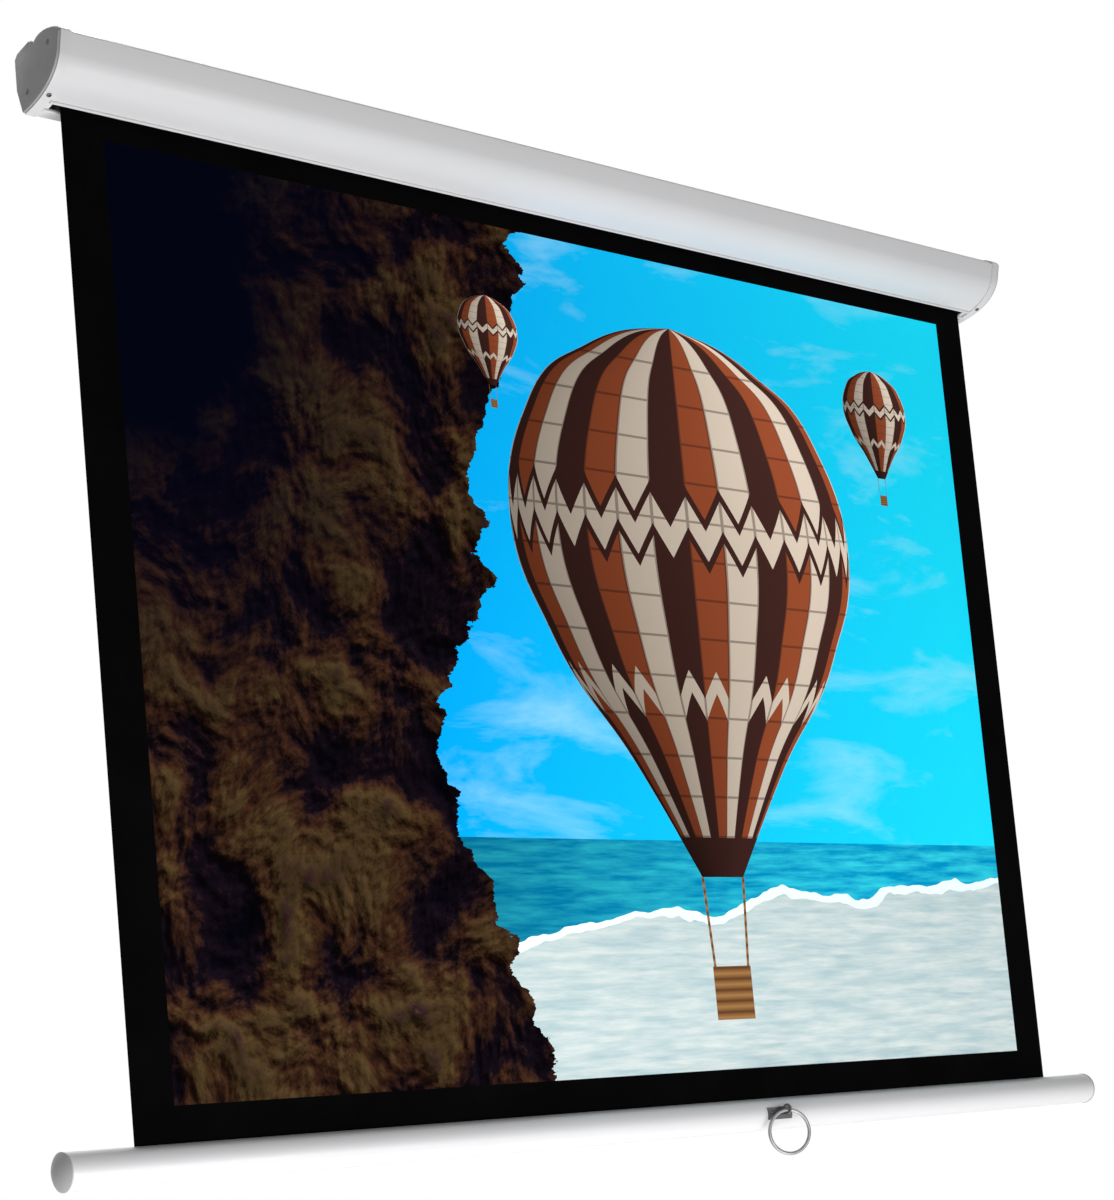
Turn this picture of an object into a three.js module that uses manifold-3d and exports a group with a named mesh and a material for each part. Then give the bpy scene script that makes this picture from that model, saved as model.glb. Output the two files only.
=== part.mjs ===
// Pull-down projector screen with a spring roller, in millimetres.
// X runs along the width, Y towards the wall and Z up.
// The origin is the centre of the case's flat back, on the wall.
// The screen is shown pulled all the way down.

import * as THREE from 'three';
import { mergeVertices } from 'three/addons/utils/BufferGeometryUtils.js';
import Module from 'manifold-3d';

const wasm = await Module();
wasm.setup();

// General clearances and facet counts
const gap = 0.3;
const overrun = 5;
const mergeTolerance = 0.001;
const roundSides = 36;
const smallSides = 14;
const curveSteps = 8;
const screwSides = 10;
const filletSteps = 3;

// Fabric: a 4:3 viewing area with black borders
const viewWidth = 1600;
const viewHeight = 1200;
const sideBorder = 60;
const bottomBorder = 45;
const topBorder = 30;
const fabricThickness = 0.5;

// Case section, front to wall
const caseDepth = 103;
const caseWall = 2;
const backHeight = 40;
const stripHeight = 24;
const stripLean = 6;
const bellyDrop = 71.4;
const bellyBack = 10;
const domeRise = 13;
const ledgeDepth = 43;
const domePeakDepth = 67;
const bellyBulgeShares = { startOut: 0.09, startDown: 0.46, endIn: 0.63, endDown: 0.88 };
const domeShares = { rise: 0.8, backIn: 0.38, frontIn: 0.42, frontLow: 0.62 };
const caseOverFabric = 20;
const slotWidth = 14;
const lipBead = 1.4;

// End caps and their grey covers
const capProud = 1.2;
const capWall = 4.4;
const capLength = 14.7;
const capFaceWall = 2.5;
const capFillet = 3;
const spigotWall = 2;
const spigotLength = 8;
const earBackDepth = 6;
const earFrontDepth = 34;
const earRise = 12;
const notchRise = 3;
const notchDepth = 45;
const coverThickness = 3;
const coverInset = 1.6;
const coverFillet = 1;

// Screws: shank and head sizes
const screwShank = 1.8;
const screwHead = 3.4;
const screwHeadHeight = 1.3;
const screwLength = 7;
const recessDepth = 1.6;
const bossRadius = 4;
const bossFloor = 1.2;
const coverScrewShares = [{ depth: 0.757, height: 0.775 }, { depth: 0.243, height: 0.254 }];
const bellyScrewDepth = 48;
const bellyScrewFromEnd = 7.5;

// Wall brackets on the ledge
const bracketFromEnd = 130;
const bracketWidth = 44;
const bracketSteel = 2;
const bracketRise = 34;
const bracketFromDome = 7;
const bracketScrewSpacing = 24;
const keyholeHead = 5;
const keyholeSlot = 2.5;
const keyholeDrop = 9;
const keyholeHeight = 14;

// Roller, its plugs and bearings
const rollerRadius = 19;
const rollerWall = 1;
const rollerOverFabric = 3;
const axisForward = 5.5;
const axisRise = 2.2;
const spearRadius = 4;
const tongueWidth = 4;
const flangeThickness = 3;
const flangeInset = 0.5;
const plugLength = 18;
const bushWall = 2.2;
const bushLength = 12;
const plateRadius = 22;
const plateThickness = 2;
const plateScrewRadius = 17;
const plateFromRatchet = 13.6;
const pinPastPlate = 1.5;

// Ratchet that locks the roller
const ratchetRadius = 8.5;
const ratchetRoot = 6.4;
const ratchetThickness = 4;
const ratchetNotches = 4;
const notchTurn = THREE.MathUtils.degToRad(124);
const notchLockSide = 1.9;
const notchSlipSide = 3;
const notchSlipRoot = 1.5;
const pawlPivotOut = 4.5;
const pawlThickness = 3;
const pawlBoss = 3;
const pawlPin = 1.6;
const pawlPinHead = 2.5;
const pawlPinHeadHeight = 1;
const pawlPinInset = 2;
const pawlArm = { reach: 8, hook: 5, tip: 7, heel: 3.6, neck: 5.8, waist: 2.5, shoulder: 1.2 };

// Torsion spring inside the roller
const springCurls = 40;
const springRadius = 11;
const springWire = 1.2;
const springPitch = 7;
const springTail = 2.4;
const springBend = 3;
const springBendShares = [0.45, 0.8];
const springBendTurn = THREE.MathUtils.degToRad(45);
const springSides = 5;
const springSteps = 8;
const collarLength = 7;
const collarRadius = 13.5;
const collarFromEnd = 20;
const anchorLength = 20;

// Spare turns of fabric left on the roller
const rollTurns = 2.25;
const rollPitch = 1;
const rollSteps = 32;

// Bottom bar
const barRadius = 23;
const barWall = 2;
const barOverFabric = 108;
const barCapDome = 10;
const barCapRimShare = 0.25;
const barCapProud = 0.6;
const barCapSpigot = 12;
const barSlot = 3;
const pocketRadius = 5;
const pocketWall = 1.6;
const hemRadius = 3.5;
const stopGap = 3;

// Pull ring and its eye plate
const ringFromCentre = 214;
const ringRadius = 31;
const ringWire = 2.5;
const ringTurn = THREE.MathUtils.degToRad(22);
const ringSteps = 36;
const ringSides = 8;
const eyeClear = 1.9;
const eyeHole = 4.5;
const eyeRise = 5;
const eyeWall = 3;
const eyeThickness = 2.5;
const eyePlateLength = 48;
const eyePlateSteel = 2;
const eyePlateHalfTurn = THREE.MathUtils.degToRad(20);
const eyeScrewSpacing = 34;
const eyeScrewLength = 6;

// Worked out from the sizes above
const fabricHalf = viewWidth / 2 + sideBorder;
const fabricDrop = topBorder + viewHeight + bottomBorder;
const backTop = backHeight / 2;
const bracketFoot = ledgeDepth - bracketFromDome;
const bellyBottom = backTop - bellyDrop;
const shellHalf = fabricHalf + caseOverFabric;
const capStart = shellHalf + gap;
const capEnd = capStart + capLength;
const faceStart = capEnd - capFaceWall;
const coverEnd = capEnd + gap + coverThickness;
const axisY = -caseDepth / 2 - axisForward;
const axisZ = (backTop + domeRise + bellyBottom) / 2 + axisRise;
const spareRadius = rollerRadius + gap + rollTurns * rollPitch + fabricThickness / 2;
const fabricY = axisY + spareRadius;
const slotFront = fabricY - slotWidth / 2;
const slotBack = fabricY + slotWidth / 2;
const rollerHalf = fabricHalf + rollerOverFabric;
const flangeEnd = rollerHalf + gap + flangeThickness;
const plugStart = rollerHalf - plugLength;
const bushOuter = spearRadius + gap + bushWall;
const boreRadius = spearRadius + gap;
const ratchetStart = flangeEnd + gap;
const pawlPivotRadius = ratchetRadius + pawlPivotOut;
const plateStart = ratchetStart + ratchetThickness + plateFromRatchet;
const plateEnd = plateStart + plateThickness;
const pinEnd = plateEnd + pinPastPlate;

const upwards = new THREE.Vector3(0, 0, 1);
const outwards = new THREE.Vector3(1, 0, 0);
const inwards = new THREE.Vector3(-1, 0, 0);
const forwards = new THREE.Vector3(0, -1, 0);

const finishes = {
  whitePaint: { color: 0xe9eaec, roughness: 0.38, metalness: 0 },
  whitePlastic: { color: 0xe6e7e9, roughness: 0.45, metalness: 0 },
  greyPlastic: { color: 0x7c7d80, roughness: 0.5, metalness: 0 },
  steel: { color: 0xa6a8ab, roughness: 0.35, metalness: 0.9 },
  darkSteel: { color: 0x6d6f72, roughness: 0.45, metalness: 0.8 },
  nylon: { color: 0xd9d6c8, roughness: 0.55, metalness: 0 },
  fabric: { color: 0x101012, roughness: 0.9, metalness: 0 },
};

const screen = new THREE.Group();

// A closed solid from a geometry: shared corners merged, faces turned out
function solid(geometry) {
  const bare = geometry.index ? geometry.toNonIndexed() : geometry.clone();
  bare.deleteAttribute('normal');
  bare.deleteAttribute('uv');
  const merged = mergeVertices(bare, mergeTolerance);
  const corners = merged.getAttribute('position').array;
  const index = merged.index.array;
  const kept = [];
  let volume = 0;
  const a = new THREE.Vector3();
  const b = new THREE.Vector3();
  const c = new THREE.Vector3();
  for (let i = 0; i < index.length; i += 3) {
    const [p, q, r] = [index[i], index[i + 1], index[i + 2]];
    if (p === q || q === r || r === p) continue;
    kept.push([p, q, r]);
    a.fromArray(corners, p * 3);
    b.fromArray(corners, q * 3);
    c.fromArray(corners, r * 3);
    volume += a.dot(b.cross(c));
  }
  const faces = volume < 0 ? kept.map(([p, q, r]) => [p, r, q]) : kept;
  return new wasm.Manifold(new wasm.Mesh({
    numProp: 3,
    vertProperties: Float32Array.from(corners),
    triVerts: Uint32Array.from(faces.flat()),
  }));
}

function join(first, ...others) {
  return others.reduce((whole, other) => whole.add(other), first);
}

function cut(first, ...tools) {
  return tools.reduce((whole, tool) => whole.subtract(tool), first);
}

function place(name, body, finish) {
  const mesh = body.getMesh();
  const geometry = new THREE.BufferGeometry();
  geometry.setAttribute('position', new THREE.BufferAttribute(mesh.vertProperties, 3));
  geometry.setIndex(new THREE.BufferAttribute(mesh.triVerts, 1));
  geometry.computeVertexNormals();
  const piece = new THREE.Mesh(geometry, new THREE.MeshStandardMaterial(finishes[finish]));
  piece.name = name;
  screen.add(piece);
}

// Turns a shape drawn in Y and Z so that its thickness runs along X
const alongX = new THREE.Matrix4().makeBasis(
  new THREE.Vector3(0, 1, 0),
  new THREE.Vector3(0, 0, 1),
  new THREE.Vector3(1, 0, 0),
);

// A prism along X from an outline in Y and Z; a fillet rounds both of its ends
function prism(outline, fromX, toX, fillet = 0) {
  const geometry = new THREE.ExtrudeGeometry(new THREE.Shape(outline), {
    depth: toX - fromX - 2 * fillet,
    bevelEnabled: fillet > 0,
    bevelThickness: fillet,
    bevelSize: fillet,
    bevelOffset: -fillet,
    bevelSegments: filletSteps,
  });
  return solid(geometry.applyMatrix4(alongX).translate(fromX + fillet, 0, 0));
}

function block(fromX, toX, fromY, toY, fromZ, toZ) {
  const geometry = new THREE.BoxGeometry(toX - fromX, toY - fromY, toZ - fromZ);
  return solid(geometry.translate((fromX + toX) / 2, (fromY + toY) / 2, (fromZ + toZ) / 2));
}

// A round rod along X
function rod(radius, fromX, toX, y, z, sides = roundSides) {
  const geometry = new THREE.CylinderGeometry(radius, radius, toX - fromX, sides);
  return solid(geometry.rotateZ(Math.PI / 2).translate((fromX + toX) / 2, y, z));
}

// A solid of revolution from [distance along the axis, radius] pairs
function turned(profile, sides = roundSides) {
  const points = profile.map(([along, radius]) => new THREE.Vector2(radius, along));
  return new THREE.LatheGeometry(points, sides);
}

// Sets a turned piece with its foot at a point and its axis along a direction
function aimed(geometry, at, direction) {
  const up = new THREE.Vector3(0, 1, 0);
  geometry.applyQuaternion(new THREE.Quaternion().setFromUnitVectors(up, direction));
  return solid(geometry.translate(at.x, at.y, at.z));
}

// The same solid on the other half of the screen
function mirrored(body) {
  return body.mirror([1, 0, 0]);
}

const sides = [
  { name: 'left', sign: -1, turn: mirrored },
  { name: 'right', sign: 1, turn: (body) => body },
];

// Moves each side of a closed outline outwards by a distance
function offsetOutline(points, distance) {
  const count = points.length;
  return points.map((point, i) => {
    const into = point.clone().sub(points[(i + count - 1) % count]).normalize();
    const away = points[(i + 1) % count].clone().sub(point).normalize();
    const normalIn = new THREE.Vector2(into.y, -into.x);
    const normalOut = new THREE.Vector2(away.y, -away.x);
    const middle = normalIn.clone().add(normalOut).normalize();
    return point.clone().add(middle.multiplyScalar(distance / middle.dot(normalIn)));
  });
}

// Section of the case: flat back, ledge, domed top, upright strip and round belly
function caseOutline(withEar) {
  const shape = new THREE.Shape();
  const front = -caseDepth;
  const peak = backTop + domeRise;
  const dome = domeShares;
  const belly = bellyBulgeShares;
  const domeFoot = withEar ? backTop + notchRise : backTop;
  const footY = withEar ? -notchDepth : -ledgeDepth;
  const frontRun = caseDepth - domePeakDepth;
  const stripFoot = backTop - stripHeight;
  const bellyRun = caseDepth - stripLean - bellyBack;
  const bellyFall = stripFoot - bellyBottom;
  shape.moveTo(0, backTop);
  if (withEar) {
    shape.lineTo(-earBackDepth, backTop + earRise / 2);
    shape.lineTo(-earFrontDepth, backTop + earRise);
  }
  shape.lineTo(footY, domeFoot);
  shape.bezierCurveTo(
    footY, backTop + domeRise * dome.rise,
    -domePeakDepth + (domePeakDepth + footY) * dome.backIn, peak,
    -domePeakDepth, peak,
  );
  shape.bezierCurveTo(
    -domePeakDepth - frontRun * dome.frontIn, peak,
    front + frontRun * (1 - dome.rise), backTop + domeRise * dome.frontLow,
    front, backTop,
  );
  shape.lineTo(front + stripLean, stripFoot);
  shape.bezierCurveTo(
    front + stripLean + bellyRun * belly.startOut, stripFoot - bellyFall * belly.startDown,
    -bellyBack - bellyRun * belly.endIn, stripFoot - bellyFall * belly.endDown,
    -bellyBack, bellyBottom,
  );
  shape.lineTo(0, -backTop);
  return shape.getPoints(curveSteps);
}

const plainOutline = caseOutline(false);
const earedOutline = caseOutline(true);

// Height of the belly and its slope at a depth, read from the outline
function bellyAt(y) {
  const foot = backTop - stripHeight;
  const points = plainOutline.filter((point) => point.y <= foot);
  const next = points.findIndex((point) => point.x > y);
  const [p, q] = [points[next - 1], points[next]];
  const along = q.clone().sub(p).normalize();
  const z = THREE.MathUtils.mapLinear(y, p.x, q.x, p.y, q.y);
  return { z, normal: new THREE.Vector3(0, along.y, -along.x) };
}

const lipZ = bellyAt(slotFront).z;
const barTop = lipZ - fabricDrop;
const barZ = barTop - barRadius;
const barTravel = bellyBottom - stopGap - barTop;
const pocketZ = barZ + barRadius - barWall - pocketRadius;
const hemZ = pocketZ + pocketRadius - gap - hemRadius;

// Pan-head screw: its head stands on the surface at a point, its shank runs inwards
function screw(name, at, outward, finish, length = screwLength) {
  const profile = [
    [-length, 0],
    [-length, screwShank],
    [0, screwShank],
    [0, screwHead],
    [screwHeadHeight / 2, screwHead],
    [screwHeadHeight, screwHead / 2],
    [screwHeadHeight, 0],
  ];
  place(name, aimed(turned(profile, screwSides), at, outward), finish);
}

// A hole for a screw, from just above its head's seat down past its tip
function screwHole(at, outward, length = screwLength) {
  const radius = screwShank + gap;
  const profile = [[-length - gap, 0], [-length - gap, radius], [overrun, radius], [overrun, 0]];
  return aimed(turned(profile, screwSides), at, outward);
}

function makeCaseShell() {
  const past = shellHalf + overrun;
  const outer = prism(plainOutline, -shellHalf, shellHalf);
  const inner = prism(offsetOutline(plainOutline, -caseWall), -past, past);
  const slot = block(-past, past, slotFront, slotBack, bellyBottom - overrun, axisZ);
  const beads = [slotFront, slotBack].map((y) => {
    const side = Math.sign(y - fabricY);
    const z = bellyAt(y).z + caseWall - lipBead;
    return rod(lipBead, -shellHalf, shellHalf, y + side * lipBead, z, smallSides);
  });
  const holes = bracketScrewPoints().map((at) => screwHole(at, upwards));
  place('case_shell', cut(join(cut(outer, inner, slot), ...beads), ...holes), 'whitePaint');
}

// Points of the screws that hold both wall brackets to the ledge
function bracketScrewPoints() {
  const z = backTop + gap + bracketSteel + gap;
  const y = -bracketFoot / 2 - bracketSteel;
  return sides.flatMap((side) => [-1, 1].map((end) => new THREE.Vector3(
    side.sign * (shellHalf - bracketFromEnd) + end * bracketScrewSpacing / 2, y, z,
  )));
}

function pressedToWall(points) {
  return points.map((point) => new THREE.Vector2(Math.min(point.x, 0), point.y));
}

function bellyScrewSeat() {
  const y = -caseDepth + bellyScrewDepth;
  const { z, normal } = bellyAt(y);
  const at = new THREE.Vector3(capEnd - bellyScrewFromEnd, y, z);
  return { at: at.addScaledVector(normal, capProud + gap), normal };
}

// Moulded end cap, drawn for the right end: skirt, spigot, ear, bosses, screw holes
// and room for the bearing plate
function makeEndCap(side) {
  const skirt = pressedToWall(offsetOutline(earedOutline, capProud));
  const rounded = prism(skirt, capStart - capLength, capEnd, capFillet);
  const spigotOuter = offsetOutline(plainOutline, -caseWall - gap);
  const spigotInner = offsetOutline(spigotOuter, -spigotWall);
  const spigotStart = capStart - gap - spigotLength;
  const pocket = prism(offsetOutline(plainOutline, -capWall), spigotStart - overrun, faceStart);
  const away = block(0, capStart, -2 * caseDepth, caseDepth, -2 * caseDepth, caseDepth);
  const spigot = cut(
    prism(spigotOuter, spigotStart, capStart + overrun),
    prism(spigotInner, spigotStart - overrun, capEnd),
  );
  const bossEnd = capEnd - capFaceWall / 2;
  const bosses = [...plateScrewPoints(), ...coverScrewPoints()].map((at) => rod(
    bossRadius, plateEnd + gap, bossEnd, at.y, at.z, smallSides,
  ));
  const seat = bellyScrewSeat();
  const bossFoot = -screwLength - gap - bossFloor;
  const bossProfile = [[bossFoot, 0], [bossFoot, bossRadius], [-capWall / 2, bossRadius], [-capWall / 2, 0]];
  const bellyBoss = aimed(turned(bossProfile, smallSides), seat.at, seat.normal);
  const body = join(cut(rounded, away, pocket), spigot, ...bosses, bellyBoss);
  const holes = [
    rod(plateRadius + gap, plateStart - gap, plateEnd + gap, axisY, axisZ),
    screwHole(seat.at, seat.normal),
    ...plateScrewPoints().map((at) => screwHole(at, inwards)),
    ...coverScrewPoints().map((at) => screwHole(at, outwards)),
  ];
  const trimmed = cut(body, ...holes);
  place(`end_cap_${side.name}`, side.turn(trimmed), 'whitePlastic');
  const mirror = (v) => new THREE.Vector3(side.sign * v.x, v.y, v.z);
  screw(`belly_screw_${side.name}`, mirror(seat.at), mirror(seat.normal), 'darkSteel');
}

function coverScrewPoints() {
  return coverScrewShares.map(({ depth, height }) => new THREE.Vector3(
    coverEnd - recessDepth, -caseDepth * depth, bellyBottom + (domeRise + bellyDrop) * height,
  ));
}

function plateScrewPoints() {
  return [-1, 1].map((end) => new THREE.Vector3(plateStart - gap, axisY + end * plateScrewRadius, axisZ));
}

// Grey cover let on to the outer face of an end cap, with its two sunk screws
function makeSideCover(side) {
  const outline = pressedToWall(offsetOutline(earedOutline, capProud - coverInset));
  const plate = prism(outline, capEnd + gap - coverThickness, coverEnd, coverFillet);
  const inner = block(0, capEnd + gap, -2 * caseDepth, caseDepth, -2 * caseDepth, caseDepth);
  const recesses = coverScrewPoints().map((at) => rod(
    screwHead + gap, at.x, coverEnd + overrun, at.y, at.z, smallSides,
  ));
  const holes = coverScrewPoints().map((at) => screwHole(at, outwards));
  place(`side_cover_${side.name}`, side.turn(cut(plate, inner, ...recesses, ...holes)), 'greyPlastic');
  coverScrewPoints().forEach((at, i) => {
    const seat = new THREE.Vector3(side.sign * (at.x + gap), at.y, at.z);
    screw(`cover_screw_${side.name}_${i + 1}`, seat, side.sign > 0 ? outwards : inwards, 'darkSteel');
  });
}

// Angle bracket: a foot on the ledge, a leg on the wall with a keyhole
function makeWallBracket(side) {
  const x = side.sign * (shellHalf - bracketFromEnd);
  const [from, to] = [x - bracketWidth / 2, x + bracketWidth / 2];
  const base = backTop + gap;
  const foot = block(from, to, -bracketFoot, 0, base, base + bracketSteel);
  const leg = block(from, to, -bracketSteel, 0, base, base + bracketRise);
  const through = (radius, z) => {
    const hole = new THREE.CylinderGeometry(radius, radius, bracketSteel + 2 * overrun, smallSides);
    return solid(hole.translate(x, 0, z));
  };
  const keyZ = base + keyholeHeight;
  const keyhole = [
    through(keyholeHead, keyZ),
    through(keyholeSlot, keyZ + keyholeDrop),
    block(x - keyholeSlot, x + keyholeSlot, -bracketSteel - overrun, overrun, keyZ, keyZ + keyholeDrop),
  ];
  const points = bracketScrewPoints().filter((at) => Math.sign(at.x) === side.sign);
  const holes = points.map((at) => screwHole(at, upwards));
  place(`wall_bracket_${side.name}`, cut(join(foot, leg), ...keyhole, ...holes), 'steel');
  points.forEach((at, i) => screw(`bracket_screw_${side.name}_${i + 1}`, at, upwards, 'darkSteel'));
}

// Round steel plate that carries one end of the roller
function makeBearingPlate(side) {
  const plate = rod(plateRadius, plateStart, plateEnd, axisY, axisZ);
  const [from, to] = [plateStart - overrun, plateEnd + overrun];
  const reach = tongueWidth / 2 + gap;
  const seat = side.sign < 0
    ? block(from, to, axisY - reach, axisY + reach, axisZ - boreRadius, axisZ + boreRadius)
    : rod(bushOuter + gap, from, to, axisY, axisZ, smallSides);
  const holes = plateScrewPoints().map((at) => screwHole(at, inwards));
  place(`bearing_plate_${side.name}`, side.turn(cut(plate, seat, ...holes)), 'steel');
  plateScrewPoints().forEach((at, i) => {
    const point = new THREE.Vector3(side.sign * at.x, at.y, at.z);
    screw(`plate_screw_${side.name}_${i + 1}`, point, side.sign > 0 ? inwards : outwards, 'darkSteel');
  });
}

function makeRollerTube() {
  const tube = rod(rollerRadius, -rollerHalf, rollerHalf, axisY, axisZ);
  const bore = rod(rollerRadius - rollerWall, -rollerHalf - overrun, rollerHalf + overrun, axisY, axisZ);
  place('roller_tube', cut(tube, bore), 'steel');
}

// Angles of the two pawl pivots round the roller's axis
const pawls = [
  { name: 'upper', angle: Math.PI / 2 },
  { name: 'lower', angle: -Math.PI / 2 },
];

// Plug pushed into a roller end; the left one carries the pawls
function makeRollerPlug(side) {
  const radius = rollerRadius - rollerWall - gap;
  const body = rod(radius, plugStart, flangeEnd - flangeThickness / 2, axisY, axisZ);
  const flange = rod(rollerRadius - flangeInset, rollerHalf + gap, flangeEnd, axisY, axisZ);
  const bore = side.sign < 0 ? bushOuter + gap : boreRadius;
  const tools = [rod(bore, plugStart - overrun, flangeEnd + overrun, axisY, axisZ, smallSides)];
  if (side.sign < 0) {
    tools.push(...pawls.map(({ angle }) => rod(
      pawlPin + gap, flangeEnd - pawlPinInset - gap, flangeEnd + overrun,
      axisY + Math.cos(angle) * pawlPivotRadius, axisZ + Math.sin(angle) * pawlPivotRadius, smallSides,
    )));
  }
  place(`roller_plug_${side.name}`, side.turn(cut(join(body, flange), ...tools)), 'nylon');
}

// Nylon bush between a shaft and what turns round it or holds it
function makeBush(side) {
  const [from, to] = side.sign < 0 ? [flangeEnd - bushLength, flangeEnd] : [plateStart, plateEnd];
  const ring = rod(bushOuter, from, to, axisY, axisZ, smallSides);
  const bore = rod(boreRadius, from - overrun, to + overrun, axisY, axisZ, smallSides);
  place(`bush_${side.name}`, side.turn(cut(ring, bore)), 'nylon');
}

function makeGudgeonPin() {
  place('gudgeon_pin', rod(spearRadius, plugStart, pinEnd, axisY, axisZ, smallSides), 'steel');
}

const collarStart = plugStart - collarFromEnd;
const springStart = collarStart - gap;
const springLength = springCurls * springPitch + 2 * (springTail + springBend);
const anchorStart = springStart - springLength - gap;
const spearStart = anchorStart - anchorLength / 2;

// Fixed shaft of the spring end, with a flat tongue held in the bearing plate
function makeSpear() {
  const tongueStart = plateStart - plateThickness;
  const shaft = rod(spearRadius, spearStart, pinEnd, axisY, axisZ, smallSides);
  const reach = spearRadius + overrun;
  const flats = [-1, 1].map((end) => {
    const edges = [end * tongueWidth / 2, end * reach].sort((p, q) => p - q);
    return block(
      tongueStart, pinEnd + overrun, axisY + edges[0], axisY + edges[1], axisZ - reach, axisZ + reach,
    );
  });
  place('spear_shaft', mirrored(cut(shaft, ...flats)), 'steel');
}

function makeSpringCollar() {
  const end = collarStart + collarLength;
  const disc = rod(collarRadius, collarStart, end, axisY, axisZ);
  const bore = rod(boreRadius, collarStart - overrun, end + overrun, axisY, axisZ, smallSides);
  place('spring_collar', mirrored(cut(disc, bore)), 'nylon');
}

function makeSpringAnchor() {
  const radius = rollerRadius - rollerWall - gap;
  const foot = anchorStart - anchorLength;
  const plug = rod(radius, foot, anchorStart, axisY, axisZ);
  const bore = rod(boreRadius, foot - overrun, anchorStart + overrun, axisY, axisZ, smallSides);
  place('spring_anchor', mirrored(cut(plug, bore)), 'nylon');
}

// Centre line of the spring: a straight tail, a bend into the helix, and the same again
function springPoints() {
  const points = [];
  const turns = springCurls + 1 / 2;
  const count = springCurls * springSteps;
  const at = (along, angle) => new THREE.Vector3(
    springStart - along,
    axisY + Math.cos(angle) * springRadius,
    axisZ + Math.sin(angle) * springRadius,
  );
  const bendAngle = (share) => springBendTurn * share * share;
  points.push(at(0, 0), at(springTail, 0));
  springBendShares.forEach((share) => points.push(at(springTail + springBend * share, bendAngle(share))));
  const helixAngle = turns * 2 * Math.PI - 2 * springBendTurn;
  for (let i = 0; i <= count; i += 1) {
    const share = i / count;
    const along = springTail + springBend + share * springCurls * springPitch;
    points.push(at(along, springBendTurn + share * helixAngle));
  }
  const lastAngle = 2 * springBendTurn + helixAngle;
  springBendShares.slice().reverse().forEach((share) => points.push(
    at(springLength - springTail - springBend * share, lastAngle - bendAngle(share)),
  ));
  points.push(at(springLength - springTail, lastAngle), at(springLength, lastAngle));
  return points;
}

// A tube of a few flat sides that follows points, its rings carried along without twist
function sweep(points, radius, ringSidesCount) {
  const corners = [];
  const index = [];
  const tangent = points.map((point, i) => {
    const next = points[Math.min(i + 1, points.length - 1)];
    const last = points[Math.max(i - 1, 0)];
    return next.clone().sub(last).normalize();
  });
  let across = new THREE.Vector3(0, 0, 1).cross(tangent[0]).normalize();
  points.forEach((point, i) => {
    across = across.clone().addScaledVector(tangent[i], -across.dot(tangent[i])).normalize();
    const other = tangent[i].clone().cross(across);
    for (let s = 0; s < ringSidesCount; s += 1) {
      const angle = (s / ringSidesCount) * 2 * Math.PI;
      const corner = point.clone()
        .addScaledVector(across, Math.cos(angle) * radius)
        .addScaledVector(other, Math.sin(angle) * radius);
      corners.push(...corner.toArray());
    }
  });
  for (let i = 0; i < points.length - 1; i += 1) {
    for (let s = 0; s < ringSidesCount; s += 1) {
      const p = i * ringSidesCount + s;
      const q = i * ringSidesCount + ((s + 1) % ringSidesCount);
      index.push(p, q, q + ringSidesCount, p, q + ringSidesCount, p + ringSidesCount);
    }
  }
  const end = (points.length - 1) * ringSidesCount;
  for (let s = 1; s < ringSidesCount - 1; s += 1) {
    index.push(0, s + 1, s, end, end + s, end + s + 1);
  }
  const geometry = new THREE.BufferGeometry();
  geometry.setAttribute('position', new THREE.Float32BufferAttribute(corners, 3));
  geometry.setIndex(index);
  return geometry;
}

// Least gap between a tube's turns, measured between its centre-line points
function selfGap(points, radius, stepsApart) {
  let least = Infinity;
  points.forEach((point, i) => {
    for (let j = i + stepsApart; j < points.length; j += 1) {
      least = Math.min(least, point.distanceTo(points[j]) - 2 * radius);
    }
  });
  return least;
}

function makeTorsionSpring() {
  const points = springPoints();
  const least = selfGap(points, springWire, springSteps / 2);
  console.log(`torsion spring, least gap to itself: ${least.toFixed(2)} mm`);
  place('torsion_spring', mirrored(solid(sweep(points, springWire, springSides))), 'darkSteel');
}

// Fixed wheel on the spear with notches that the pawls drop into
function makeRatchetWheel() {
  const end = ratchetStart + ratchetThickness;
  const wheel = rod(ratchetRadius, ratchetStart, end, axisY, axisZ);
  const outer = ratchetRadius + overrun;
  const notch = [
    [ratchetRoot, notchLockSide], [ratchetRoot, -notchSlipRoot],
    [outer, -notchSlipSide], [outer, notchLockSide],
  ];
  const tools = Array.from({ length: ratchetNotches }, (_, i) => {
    const angle = notchTurn + (i / ratchetNotches) * 2 * Math.PI;
    const outline = notch.map(([out, across]) => new THREE.Vector2(
      axisY + Math.cos(angle) * out - Math.sin(angle) * across,
      axisZ + Math.sin(angle) * out + Math.cos(angle) * across,
    ));
    return prism(outline, ratchetStart - overrun, end + overrun);
  });
  const bore = rod(boreRadius, ratchetStart - overrun, end + overrun, axisY, axisZ, smallSides);
  place('ratchet_wheel', mirrored(cut(wheel, bore, ...tools)), 'darkSteel');
}

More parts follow.
